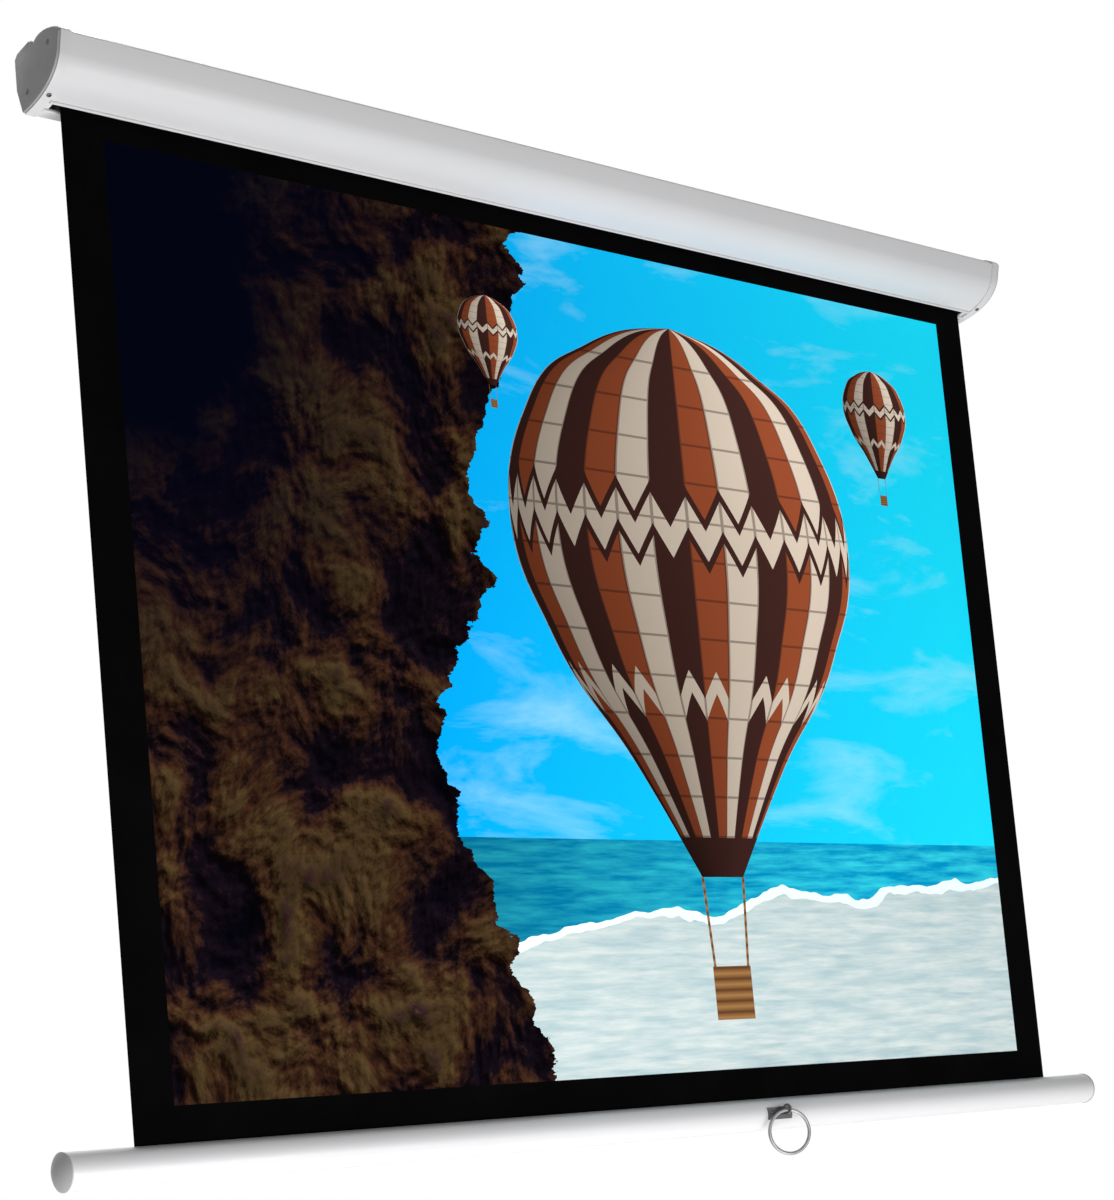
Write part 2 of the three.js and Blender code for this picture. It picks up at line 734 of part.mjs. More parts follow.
// Pawl drawn about its pivot with its arm towards the front, lifted clear of the wheel
function makePawl({ name, angle }) {
  const arm = pawlArm;
  const turn = angle - Math.PI / 2;
  const outline = [
    [0, pawlBoss], [-arm.neck, arm.shoulder], [-arm.reach, -arm.heel], [-arm.tip, -arm.hook],
    [-arm.neck, -pawlBoss], [-arm.waist, -pawlBoss / 2], [0, -pawlBoss / 2],
  ];
  const turnedPoint = ([y, z]) => new THREE.Vector2(
    axisY + Math.cos(turn) * y - Math.sin(turn) * (z + pawlPivotRadius),
    axisZ + Math.sin(turn) * y + Math.cos(turn) * (z + pawlPivotRadius),
  );
  const [from, to] = [ratchetStart, ratchetStart + pawlThickness];
  const pivot = turnedPoint([0, 0]);
  const body = join(
    prism(outline.map(turnedPoint), from, to),
    rod(pawlBoss, from, to, pivot.x, pivot.y, smallSides),
  );
  const bore = rod(pawlPin + gap, from - overrun, to + overrun, pivot.x, pivot.y, smallSides);
  place(`pawl_${name}`, mirrored(cut(body, bore)), 'darkSteel');
  const headStart = to + gap;
  const profile = [
    [flangeEnd - pawlPinInset, 0], [flangeEnd - pawlPinInset, pawlPin], [headStart, pawlPin],
    [headStart, pawlPinHead], [headStart + pawlPinHeadHeight, pawlPinHead],
    [headStart + pawlPinHeadHeight, 0],
  ];
  const foot = new THREE.Vector3(0, pivot.x, pivot.y);
  place(`pawl_pin_${name}`, mirrored(aimed(turned(profile, smallSides), foot, outwards)), 'steel');
}

// Spare turns of fabric, one spiral that ends where the hanging fabric starts
function makeFabricRoll() {
  const count = Math.round(rollTurns * rollSteps);
  const at = (i, shift) => {
    const angle = (i / rollSteps) * 2 * Math.PI;
    const radius = spareRadius - (i / rollSteps) * rollPitch + shift;
    return new THREE.Vector2(axisY + Math.cos(angle) * radius, axisZ + Math.sin(angle) * radius);
  };
  const steps = Array.from({ length: count + 1 }, (_, i) => i);
  const outside = steps.map((i) => at(i, fabricThickness / 2));
  const inside = steps.map((i) => at(i, -fabricThickness / 2)).reverse();
  place('fabric_roll', prism([...outside, ...inside], -fabricHalf, fabricHalf), 'fabric');
}

function makeScreenFabric() {
  const half = fabricThickness / 2;
  const bottom = hemZ + hemRadius + gap;
  const sheet = block(-fabricHalf, fabricHalf, fabricY - half, fabricY + half, bottom, axisZ - gap);
  place('screen_fabric', sheet, 'fabric');
}

// Tube with a slotted pocket along its top that grips the hem
function makeBarTube() {
  const half = fabricHalf + barOverFabric - barCapDome;
  const past = half + overrun;
  const tube = cut(
    rod(barRadius, -half, half, fabricY, barZ),
    rod(barRadius - barWall, -past, past, fabricY, barZ),
  );
  const pocket = rod(pocketRadius + pocketWall, -half, half, fabricY, pocketZ, smallSides);
  const bore = rod(pocketRadius, -past, past, fabricY, pocketZ, smallSides);
  const slot = block(-past, past, fabricY - barSlot / 2, fabricY + barSlot / 2, pocketZ, barTop + overrun);
  const holes = eyeScrewPoints().map((at) => screwHole(at, forwards, eyeScrewLength));
  place('bar_tube', cut(join(tube, pocket), bore, slot, ...holes), 'whitePaint');
}

// Domed plug in each end of the bar, cut away round the pocket
function makeBarCap(side) {
  const start = fabricHalf + barOverFabric - barCapDome + gap;
  const radius = barRadius + barCapProud;
  const end = start + barCapDome - gap;
  const rim = start + barCapDome * barCapRimShare;
  const dome = Array.from({ length: curveSteps }, (_, i) => {
    const angle = (i / curveSteps) * Math.PI / 2;
    return [rim + Math.sin(angle) * (end - rim), Math.cos(angle) * radius];
  });
  const spigot = barRadius - barWall - gap;
  const profile = [
    [start - barCapSpigot, 0], [start - barCapSpigot, spigot], [start, spigot],
    [start, radius], ...dome, [end, 0],
  ];
  const body = aimed(turned(profile), new THREE.Vector3(0, fabricY, barZ), outwards);
  const relief = block(
    start - barCapSpigot - overrun, start, fabricY - barRadius, fabricY + barRadius,
    pocketZ - pocketRadius - pocketWall - gap, barTop + overrun,
  );
  place(`bar_cap_${side.name}`, side.turn(cut(body, relief)), 'greyPlastic');
}

function makeHemRod() {
  place('hem_rod', rod(hemRadius, -fabricHalf, fabricHalf, fabricY, hemZ, smallSides), 'steel');
}

const eyeReach = Math.sin(ringTurn) * ringRadius + ringWire + eyeClear;
const eyeY = fabricY - barRadius - eyeReach;
const eyeZ = barZ + eyeRise;
const eyePlateInner = barRadius + gap;
const eyePlateOuter = eyePlateInner + eyePlateSteel;

function eyeScrewPoints() {
  return [-1, 1].map((end) => new THREE.Vector3(
    ringFromCentre + end * eyeScrewSpacing / 2, fabricY - eyePlateOuter - gap, barZ,
  ));
}

// Curved plate on the front of the bar with a standing eye for the ring
function makeEyePlate() {
  const arc = (radius, sign) => Array.from({ length: curveSteps + 1 }, (_, i) => {
    const angle = Math.PI + sign * (2 * i / curveSteps - 1) * eyePlateHalfTurn;
    return new THREE.Vector2(fabricY + Math.cos(angle) * radius, barZ + Math.sin(angle) * radius);
  });
  const from = ringFromCentre - eyePlateLength / 2;
  const band = prism([...arc(eyePlateOuter, 1), ...arc(eyePlateInner, -1)], from, from + eyePlateLength);
  const [tabFrom, tabTo] = [ringFromCentre - eyeThickness / 2, ringFromCentre + eyeThickness / 2];
  const eyeRadius = eyeHole + eyeWall;
  const arm = block(tabFrom, tabTo, eyeY, fabricY, eyeZ - eyeRadius, eyeZ + eyeHole);
  const tab = cut(
    join(rod(eyeRadius, tabFrom, tabTo, eyeY, eyeZ), arm),
    rod(eyePlateInner, tabFrom - overrun, tabTo + overrun, fabricY, barZ),
  );
  const hole = rod(eyeHole, tabFrom - overrun, tabTo + overrun, eyeY, eyeZ);
  const screwHoles = eyeScrewPoints().map((at) => screwHole(at, forwards, eyeScrewLength));
  place('ring_eye_plate', cut(join(band, tab), hole, ...screwHoles), 'darkSteel');
  eyeScrewPoints().forEach((at, i) => {
    screw(`eye_screw_${i + 1}`, at, forwards, 'darkSteel', eyeScrewLength);
  });
}

const ringTopZ = eyeZ - eyeHole + gap + ringWire;

// Wire ring hanging in the eye, turned a little towards the left
function makePullRing() {
  const ring = new THREE.TorusGeometry(ringRadius, ringWire, ringSides, ringSteps);
  ring.rotateX(Math.PI / 2).rotateZ(-ringTurn);
  ring.translate(ringFromCentre, eyeY, ringTopZ - ringRadius);
  place('pull_ring', solid(ring), 'steel');
}

makeCaseShell();
sides.forEach((side) => {
  makeEndCap(side);
  makeSideCover(side);
  makeWallBracket(side);
  makeBearingPlate(side);
  makeRollerPlug(side);
  makeBush(side);
  makeBarCap(side);
});
makeRollerTube();
makeGudgeonPin();
makeSpear();
makeSpringCollar();
makeSpringAnchor();
makeTorsionSpring();
makeRatchetWheel();
pawls.forEach(makePawl);
makeFabricRoll();
makeScreenFabric();
makeBarTube();
makeHemRod();
makeEyePlate();
makePullRing();

const report = { barTravel, fabricY, lipZ, barZ, ringHingeY: eyeY, ringHingeZ: ringTopZ };
Object.entries(report).forEach(([name, value]) => console.log(`${name}: ${value.toFixed(2)} mm`));

export default screen;
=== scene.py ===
# Pull-down projector screen, dressed for rendering, in metres.
# X runs along the width, Y towards the wall, Z up. The case's back lies on the wall at Y = 0.

import math
import bmesh
import bpy
from mathutils import Matrix, Vector


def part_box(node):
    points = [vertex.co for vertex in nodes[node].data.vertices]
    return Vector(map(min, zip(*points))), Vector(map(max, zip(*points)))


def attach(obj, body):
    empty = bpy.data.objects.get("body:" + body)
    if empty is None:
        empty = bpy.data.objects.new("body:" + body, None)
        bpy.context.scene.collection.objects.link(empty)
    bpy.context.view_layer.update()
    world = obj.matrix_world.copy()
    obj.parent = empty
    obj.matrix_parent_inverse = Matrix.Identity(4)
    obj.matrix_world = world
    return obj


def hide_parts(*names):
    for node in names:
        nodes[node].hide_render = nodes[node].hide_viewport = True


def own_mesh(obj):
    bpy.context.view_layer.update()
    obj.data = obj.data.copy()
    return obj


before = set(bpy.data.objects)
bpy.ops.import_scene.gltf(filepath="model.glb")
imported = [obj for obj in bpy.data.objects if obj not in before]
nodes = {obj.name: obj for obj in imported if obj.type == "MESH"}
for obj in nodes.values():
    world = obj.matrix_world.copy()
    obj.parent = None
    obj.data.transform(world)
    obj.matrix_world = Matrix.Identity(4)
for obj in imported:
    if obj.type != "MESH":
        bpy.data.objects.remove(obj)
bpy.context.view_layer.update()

# Camera
# A long lens low in front of the left end, looking up along the case. The lens is shifted
# upwards, only as far as the photograph's framing needs.
camera_data = bpy.data.cameras.new("camera")
camera = bpy.data.objects.new("camera", camera_data)
bpy.context.scene.collection.objects.link(camera)
bpy.context.scene.camera = camera
camera.location = (-2.566, -2.685, -1.379)
camera.rotation_euler = (math.radians(96.884), math.radians(5.214), math.radians(-41.757))
camera_data.lens = 79.14
camera_data.sensor_width = 36
camera_data.shift_y = 0.2

# Studio
# A pale floor far below the screen and a white room that lights it dimly. Most of the light
# comes from a long lamp low in front and a wide one near the floor. A third, behind and above,
# shows the back and the top.
floor_height = -6
floor_reach = 40
white = (1, 1, 1, 1)
room_light = 0.2
floor_glow = 0.85


def add(tree, kind, values=None, **settings):
    """Adds a shader node, sets its properties, and fills or links its inputs by name or number."""
    made = tree.nodes.new("ShaderNode" + kind)
    for name, value in settings.items():
        setattr(made, name, value)
    for name, value in (values or {}).items():
        if isinstance(value, bpy.types.NodeSocket):
            tree.links.new(value, made.inputs[name])
        else:
            made.inputs[name].default_value = value
    return made


def calc(tree, operation, *values):
    """One Math node: its operands in order, and the result's socket."""
    return add(tree, "Math", dict(enumerate(values)), operation=operation).outputs[0]


def seen_as_backdrop(tree):
    """1 for rays from the camera, a gloss or through glass, and 0 for rays that light things."""
    path = add(tree, "LightPath")
    bright = calc(tree, "MAXIMUM", path.outputs["Is Camera Ray"], path.outputs["Is Glossy Ray"])
    return calc(tree, "MAXIMUM", bright, path.outputs["Is Transmission Ray"])


world = bpy.data.worlds.new("white_room")
bpy.context.scene.world = world
world.use_nodes = True
tree = world.node_tree
tree.nodes.clear()
lit = add(tree, "Background", {"Color": white, "Strength": room_light})
seen = add(tree, "Background", {"Color": white, "Strength": 1})
both = add(tree, "MixShader", {0: seen_as_backdrop(tree), 1: lit.outputs[0], 2: seen.outputs[0]})
add(tree, "OutputWorld", {"Surface": both.outputs[0]})

floor_material = bpy.data.materials.new("pale_floor")
floor_material.use_nodes = True
tree = floor_material.node_tree
tree.nodes.clear()
matt = add(tree, "BsdfDiffuse", {"Color": (0.86, 0.86, 0.86, 1)})
glow = add(tree, "Emission", {
    "Color": white, "Strength": calc(tree, "MULTIPLY", seen_as_backdrop(tree), floor_glow),
})
both = add(tree, "AddShader", {0: matt.outputs[0], 1: glow.outputs[0]})
add(tree, "OutputMaterial", {"Surface": both.outputs[0]})

bm = bmesh.new()
bmesh.ops.create_grid(bm, x_segments=1, y_segments=1, size=floor_reach)
bmesh.ops.translate(bm, vec=(0, 0, floor_height), verts=bm.verts)
floor_mesh = bpy.data.meshes.new("floor")
bm.to_mesh(floor_mesh)
bm.free()
floor_mesh.materials.append(floor_material)
floor = bpy.data.objects.new("floor", floor_mesh)
bpy.context.scene.collection.objects.link(floor)

bpy.context.scene.view_settings.view_transform = "Standard"
middle_of_screen = Vector((0, -0.03, -0.68))


def soft_light(name, place, size, power):
    """A rectangular lamp turned towards the middle of the screen."""
    data = bpy.data.lights.new(name, "AREA")
    data.shape = "RECTANGLE"
    data.size, data.size_y = size
    data.energy = power
    lamp = bpy.data.objects.new(name, data)
    lamp.location = place
    lamp.rotation_euler = (middle_of_screen - Vector(place)).to_track_quat("-Z", "Y").to_euler()
    lamp.visible_camera = False
    bpy.context.scene.collection.objects.link(lamp)


soft_light("low_light", place=(-0.4, -1.5, -1.9), size=(3.4, 0.6), power=27)
soft_light("floor_bounce", place=(-0.6, -1.6, -5.7), size=(4.5, 1.5), power=178)
soft_light("back_light", place=(0.6, 4.2, 3.6), size=(3.5, 2.0), power=210)

# Case
# One aluminium extrusion, 2 mm thick, in white powder coat: flat back, ledge for the brackets,
# domed top, leaning front strip and round belly. The fabric leaves through a slot in the belly,
# whose lips are rolled.


def new_group(name, inputs, outputs):
    """An empty shader node group with named sockets, and its two end nodes."""
    group = bpy.data.node_groups.new(name, "ShaderNodeTree")
    for label, kind, value in inputs:
        socket = group.interface.new_socket(label, in_out="INPUT", socket_type="NodeSocket" + kind)
        socket.default_value = value
    for label, kind in outputs:
        group.interface.new_socket(label, in_out="OUTPUT", socket_type="NodeSocket" + kind)
    start, end = group.nodes.new("NodeGroupInput"), group.nodes.new("NodeGroupOutput")
    return group, start, end


def ramp(tree, value, low, high, to_low=0.0, to_high=1.0):
    """Maps a value's range to another, held at both ends."""
    return add(tree, "MapRange", {
        "Value": value, "From Min": low, "From Max": high, "To Min": to_low, "To Max": to_high,
    }).outputs[0]


def noise(tree, vector, scale, detail=6, rough=0.55, warp=0.0):
    """One fractal noise value."""
    return add(tree, "TexNoise", {
        "Vector": vector, "Scale": scale, "Detail": detail, "Roughness": rough, "Distortion": warp,
    }).outputs[0]


def scaled(tree, color, factor):
    """A colour times a number."""
    return add(tree, "VectorMath", {0: color, "Scale": factor}, operation="SCALE").outputs[0]


# Powder coat has a fine orange peel, and a gloss that varies a little. With other values the
# same grain is the spark-eroded skin of moulded plastic.
grain, start, end = new_group(
    "surface_grain",
    [("Color", "Color", white), ("Roughness", "Float", 0.4), ("Grain Size", "Float", 0.001),
     ("Grain Depth", "Float", 0.0001), ("Mottle", "Float", 0.03)],
    [("Color", "Color"), ("Roughness", "Float"), ("Normal", "Vector")],
)
here = add(grain, "TexCoord").outputs["Object"]
per_metre = calc(grain, "DIVIDE", 1, start.outputs["Grain Size"])
peel = noise(grain, here, per_metre, detail=3, rough=0.5)
cloud = noise(grain, here, 7, detail=4, rough=0.5)
smudge = noise(grain, here, 40, detail=5, rough=0.65)
around_one = ramp(
    grain, cloud, 0.3, 0.7, calc(grain, "SUBTRACT", 1, start.outputs["Mottle"]),
    calc(grain, "ADD", 1, start.outputs["Mottle"]),
)
worn = ramp(
    grain, smudge, 0.35, 0.75, calc(grain, "MULTIPLY", start.outputs["Roughness"], 0.85),
    calc(grain, "MULTIPLY", start.outputs["Roughness"], 1.25),
)
raised = add(grain, "Bump", {
    "Height": peel, "Distance": start.outputs["Grain Depth"], "Strength": 1,
})
grain.links.new(scaled(grain, start.outputs["Color"], around_one), end.inputs["Color"])
grain.links.new(worn, end.inputs["Roughness"])
grain.links.new(raised.outputs[0], end.inputs["Normal"])


def skinned(name, group, values):
    """A Principled material that takes colour, gloss and relief from a group; and its shader."""
    material = bpy.data.materials.new(name)
    material.use_nodes = True
    tree = material.node_tree
    shader = tree.nodes["Principled BSDF"]
    skin = add(tree, "Group", values, node_tree=group)
    tree.links.new(skin.outputs["Color"], shader.inputs["Base Color"])
    tree.links.new(skin.outputs["Roughness"], shader.inputs["Roughness"])
    tree.links.new(skin.outputs["Normal"], shader.inputs["Normal"])
    return material, shader


def grained(name, color, roughness, grain_size, grain_depth, mottle=0.03, coat=0.0):
    """Paint or moulded plastic, with the shared grain."""
    material, shader = skinned(name, grain, {
        "Color": (*color, 1), "Roughness": roughness, "Grain Size": grain_size,
        "Grain Depth": grain_depth, "Mottle": mottle,
    })
    shader.inputs["Coat Weight"].default_value = coat
    shader.inputs["Coat Roughness"].default_value = 0.2
    return material


white_paint = grained(
    "white_powder_coat", (0.70, 0.70, 0.71), roughness=0.38, grain_size=0.0011,
    grain_depth=0.00005, mottle=0.012, coat=0.15,
)
case_low, case_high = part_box("case_shell")
case_front, case_top, case_bottom = case_low.y, case_high.z, case_low.z
case_wall = 0.002
back_top = 0.020
dome_foot = 0.043
dome_peak = 0.067
dome_rise, dome_back, dome_front, dome_in, dome_low = 0.8, 0.38, 0.42, 0.2, 0.62
strip_foot = -0.004
strip_lean = 0.006
belly_back = 0.010
belly_out, belly_down, belly_in, belly_flat = 0.09, 0.46, 0.63, 0.88
notch_depth, notch_rise = 0.045, 0.003
ear_back, ear_front, ear_rise = 0.006, 0.034, 0.012
fabric_low, fabric_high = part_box("screen_fabric")
fabric_plane = (fabric_low.y + fabric_high.y) / 2
slot_half = 0.007
lip_radius = 0.0022
near = 1e-6
near_cut = 1e-4


def between(a, b, share):
    return a + (b - a) * share


def section_loop(ear):
    """The case's section as a closed loop in Y and Z; a cap's has an ear at the wall side."""
    dome_start = (-notch_depth, back_top + notch_rise) if ear else (-dome_foot, back_top)
    strip_back = case_front + strip_lean
    over_start = (dome_start[0], between(back_top, case_top, dome_rise))
    before_peak = (between(-dome_peak, dome_start[0], dome_back), case_top)
    after_peak = (between(-dome_peak, case_front, dome_front), case_top)
    over_strip = (between(case_front, -dome_peak, dome_in), between(back_top, case_top, dome_low))
    under_strip = (
        between(strip_back, -belly_back, belly_out), between(strip_foot, case_bottom, belly_down),
    )
    before_back = (
        between(-belly_back, strip_back, belly_in), between(strip_foot, case_bottom, belly_flat),
    )
    corners = [((0, -back_top), None, None), ((0, back_top), None, None)]
    if ear:
        corners += [
            ((-ear_back, back_top + ear_rise / 2), None, None),
            ((-ear_front, back_top + ear_rise), None, None),
        ]
    corners += [
        (dome_start, None, over_start),
        ((-dome_peak, case_top), before_peak, after_peak),
        ((case_front, back_top), over_strip, None),
        ((strip_back, strip_foot), None, under_strip),
        ((-belly_back, case_bottom), before_back, None),
    ]
    curve = bpy.data.curves.new("section", "CURVE")
    curve.dimensions = "3D"
    curve.resolution_u = 18
    spline = curve.splines.new("BEZIER")
    spline.bezier_points.add(len(corners) - 1)
    spline.use_cyclic_u = True
    for point, (place, before, after) in zip(spline.bezier_points, corners):
        point.handle_left_type = point.handle_right_type = "FREE"
        point.co = (0, *place)
        point.handle_left = (0, *(before or place))
        point.handle_right = (0, *(after or place))
    drawn = bpy.data.objects.new("section", curve)
    bm = bmesh.new()
    bm.from_mesh(drawn.to_mesh())
    bpy.data.objects.remove(drawn)
    bpy.data.curves.remove(curve)
    straight = math.radians(0.4)
    bmesh.ops.dissolve_limit(bm, angle_limit=straight, verts=bm.verts, edges=bm.edges)
    return bm


def push(bm, edges, along):
    """Extrudes edges by a vector and returns the new edges."""
    made = bmesh.ops.extrude_edge_only(bm, edges=edges)["geom"]
    moved = [e for e in made if isinstance(e, bmesh.types.BMVert)]
    bmesh.ops.translate(bm, vec=along, verts=moved)
    return [e for e in made if isinstance(e, bmesh.types.BMEdge)]


def face_out(bm):
    """Turns the faces outward."""
    bmesh.ops.recalc_face_normals(bm, faces=bm.faces)


def thicken(bm, thickness):
    """Gives a sheet its thickness."""
    bmesh.ops.solidify(bm, geom=bm.faces[:], thickness=thickness)
    face_out(bm)


def finished(bm, name, body, material, replaces=(), smooth=40):
    """Turns a bmesh into a piece on a CAD body, shaded smooth up to an angle in degrees."""
    mesh = bpy.data.meshes.new(name)
    bm.to_mesh(mesh)
    bm.free()
    mesh.polygons.foreach_set("use_smooth", [True] * len(mesh.polygons))
    mesh.set_sharp_from_angle(angle=math.radians(smooth))
    mesh.materials.append(material)
    piece = bpy.data.objects.new(name, mesh)
    bpy.context.scene.collection.objects.link(piece)
    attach(piece, body)
    if replaces:
        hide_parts(*replaces)
    return piece


def lip(bm, y, low_x, high_x):
    """A round bead along X on the belly, at the edge of the slot that lies at a depth."""
    cut = [v.co.copy() for v in bm.verts if abs(v.co.y - y) < near_cut and v.co.z < strip_foot]
    lowest = min(p.z for p in cut)
    beside = y + math.copysign(lip_radius, y - fabric_plane)
    turn = Matrix.Rotation(math.radians(90), 4, "Y")
    place = Matrix.Translation((low_x, beside, lowest + case_wall - lip_radius)) @ turn
    ring = bmesh.ops.create_circle(
        bm, cap_ends=True, segments=16, radius=lip_radius, matrix=place,
    )["verts"]
    face = ring[0].link_faces[0]
    made = bmesh.ops.extrude_face_region(bm, geom=[face], use_keep_orig=True)["geom"]
    moved = [e for e in made if isinstance(e, bmesh.types.BMVert)]
    bmesh.ops.translate(bm, vec=(high_x - low_x, 0, 0), verts=moved)


bm = section_loop(ear=False)
bmesh.ops.translate(bm, vec=(case_low.x, 0, 0), verts=bm.verts)
push(bm, list(bm.edges), (case_high.x - case_low.x, 0, 0))
for y in (fabric_plane - slot_half, fabric_plane + slot_half):
    bmesh.ops.bisect_plane(
        bm, geom=bm.verts[:] + bm.edges[:] + bm.faces[:], dist=near,
        plane_co=(0, y, 0), plane_no=(0, 1, 0),
    )
open_faces = []
for face in bm.faces:
    middle = face.calc_center_median()
    if abs(middle.y - fabric_plane) < slot_half and middle.z < strip_foot:
        open_faces.append(face)
bmesh.ops.delete(bm, geom=open_faces, context="FACES")
face_out(bm)
thicken(bm, case_wall)
for y in (fabric_plane - slot_half, fabric_plane + slot_half):
    lip(bm, y, case_low.x, case_high.x)
face_out(bm)
finished(bm, "case_extrusion", "case", white_paint, ["case_shell"], smooth=25)

# End caps
# White mouldings pushed over both ends of the extrusion: a skirt with a round rim, a closed
# face with an ear at the wall side, and a spigot that fits inside the case.
white_plastic = grained(
    "white_moulded_plastic", (0.69, 0.69, 0.70), roughness=0.42, grain_size=0.0007,
    grain_depth=0.00005, mottle=0.015,
)
cap_play = 0.0003
cap_rim = 0.003
cap_wall = 0.0022
spigot_wall = 0.002


def fill_box(bm, low, high):
    """Stretches a section to fill a box in Y and Z, and moves it to the box's low X."""
    ys, zs = [v.co.y for v in bm.verts], [v.co.z for v in bm.verts]
    wide, tall = max(ys) - min(ys), max(zs) - min(zs)
    bmesh.ops.translate(bm, vec=(0, -min(ys), -min(zs)), verts=bm.verts)
    bmesh.ops.scale(bm, vec=(1, (high.y - low.y) / wide, (high.z - low.z) / tall), verts=bm.verts)
    bmesh.ops.translate(bm, vec=(low.x, low.y, low.z), verts=bm.verts)


def mirrored_to(bm, side):
    """A shape drawn for the right end, mirrored to the left end where side is -1."""
    if side < 0:
        bmesh.ops.scale(bm, vec=(-1, 1, 1), verts=bm.verts)
        bmesh.ops.reverse_faces(bm, faces=bm.faces)


def edges_at(bm, x):
    """The edges that lie at one place along the width."""
    return [e for e in bm.edges if all(abs(v.co.x - x) < near for v in e.verts)]


def round_edges(bm, edges, radius, steps):
    """Rounds edges with a bevel."""
    bmesh.ops.bevel(
        bm, geom=edges, offset=radius, offset_type="OFFSET", affect="EDGES",
        segments=steps, profile=0.5, material=-1, clamp_overlap=True,
    )


def make_end_cap(name, side):
    low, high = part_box("end_cap_right")
    start = case_high.x + cap_play
    bm = section_loop(ear=True)
    fill_box(bm, Vector((high.x, low.y, low.z)), high)
    rim = bm.edges[:]
    bmesh.ops.contextual_create(bm, geom=rim)
    push(bm, rim, (start - high.x, 0, 0))
    face_out(bm)
    if max(bm.faces, key=lambda f: f.calc_area()).normal.x < 0:
        bmesh.ops.reverse_faces(bm, faces=bm.faces)
    corner = [e for e in edges_at(bm, high.x) if len(e.link_faces) == 2]
    round_edges(bm, corner, cap_rim, steps=6)
    thicken(bm, cap_wall)
    inner = section_loop(ear=False)
    inset = case_wall + cap_play
    fill_box(
        inner, Vector((low.x, case_low.y + inset, case_low.z + inset)),
        Vector((low.x, case_high.y - inset, case_high.z - inset)),
    )
    push(inner, inner.edges[:], (high.x - cap_wall - low.x, 0, 0))
    face_out(inner)
    thicken(inner, spigot_wall)
    spigot = bpy.data.meshes.new("spigot")
    inner.to_mesh(spigot)
    inner.free()
    bm.from_mesh(spigot)
    bpy.data.meshes.remove(spigot)
    face_out(bm)
    mirrored_to(bm, side)
    finished(
        bm, f"cap_{name}", "case", white_plastic, [f"end_cap_{name}"], smooth=30,
    )


ends = (("left", -1), ("right", 1))
for name, side in ends:
    make_end_cap(name, side)

# Side covers
# Grey moulded plates let on to the cap faces, each held by two screws sunk in round recesses.
# A fine satin texture, rubbed a little smoother in places by handling.
cover_plastic = grained(
    "grey_moulded_plastic", (0.32, 0.32, 0.325), roughness=0.46, grain_size=0.0006,
    grain_depth=0.00006, mottle=0.05,
)
cover_edge = 0.001
recess_radius = 0.0037
recess_depth = 0.0016


def cylinder(start, stop, radius, sides=32):
    """A closed cylinder between two points."""
    start, stop = Vector(start), Vector(stop)
    run = stop - start
    turn = run.to_track_quat("Z", "Y").to_matrix().to_4x4()
    bm = bmesh.new()
    bmesh.ops.create_cone(
        bm, cap_ends=True, segments=sides, radius1=radius, radius2=radius,
        depth=run.length, matrix=Matrix.Translation((start + stop) / 2) @ turn,
    )
    return bm


def slab(low, high):
    """A closed block between two corners."""
    low, high = Vector(low), Vector(high)
    bm = bmesh.new()
    place = Matrix.Translation((low + high) / 2) @ Matrix.Diagonal((*(high - low), 1))
    bmesh.ops.create_cube(bm, size=1, matrix=place)
    return bm


def combine(bm, operation, *others):
    """Cuts other shapes out of a shape, or joins them to it, and returns the result."""
    made = []
    for number, shape in enumerate((bm, *others)):
        mesh = bpy.data.meshes.new("work")
        shape.to_mesh(mesh)
        shape.free()
        made.append(bpy.data.objects.new(f"work_{number}", mesh))
        bpy.context.scene.collection.objects.link(made[-1])
    for other in made[1:]:
        step = made[0].modifiers.new("combine", "BOOLEAN")
        step.operation, step.solver, step.object = operation, "EXACT", other
    result = bmesh.new()
    result.from_object(made[0], bpy.context.evaluated_depsgraph_get())
    for used in made:
        mesh = used.data
        bpy.data.objects.remove(used)
        bpy.data.meshes.remove(mesh)
    return result


def middle_of(name):
    """The middle of a CAD node's box."""
    low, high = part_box(name)
    return (low + high) / 2


def make_side_cover(name, side):
    low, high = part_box("side_cover_right")
    bm = section_loop(ear=True)
    fill_box(bm, Vector((high.x, low.y, low.z)), high)
    outline = bm.edges[:]
    bmesh.ops.contextual_create(bm, geom=outline)
    push(bm, outline, (low.x - high.x, 0, 0))
    bmesh.ops.contextual_create(bm, geom=edges_at(bm, low.x))
    face_out(bm)
    round_edges(bm, edges_at(bm, high.x), cover_edge, steps=3)
    recesses = []
    for number in (1, 2):
        at = middle_of(f"cover_screw_right_{number}")
        floor_x, over_x = high.x - recess_depth, high.x + recess_depth
        recesses.append(cylinder((floor_x, at.y, at.z), (over_x, at.y, at.z), recess_radius))
    bm = combine(bm, "DIFFERENCE", *recesses)
    mirrored_to(bm, side)
    finished(
        bm, f"cover_{name}", "case", cover_plastic, [f"side_cover_{name}"],
        smooth=30,
    )


for name, side in ends:
    make_side_cover(name, side)

# Screws
# Pan heads with a cross recess, blackened steel: two in each cover, one under each cap, two
# through each bearing plate, two in each wall bracket and two in the plate of the pull ring.


def stretched(tree, vector, factors):
    """A vector times another, axis by axis."""
    return add(tree, "VectorMath", {0: vector, 1: factors}, operation="MULTIPLY").outputs[0]


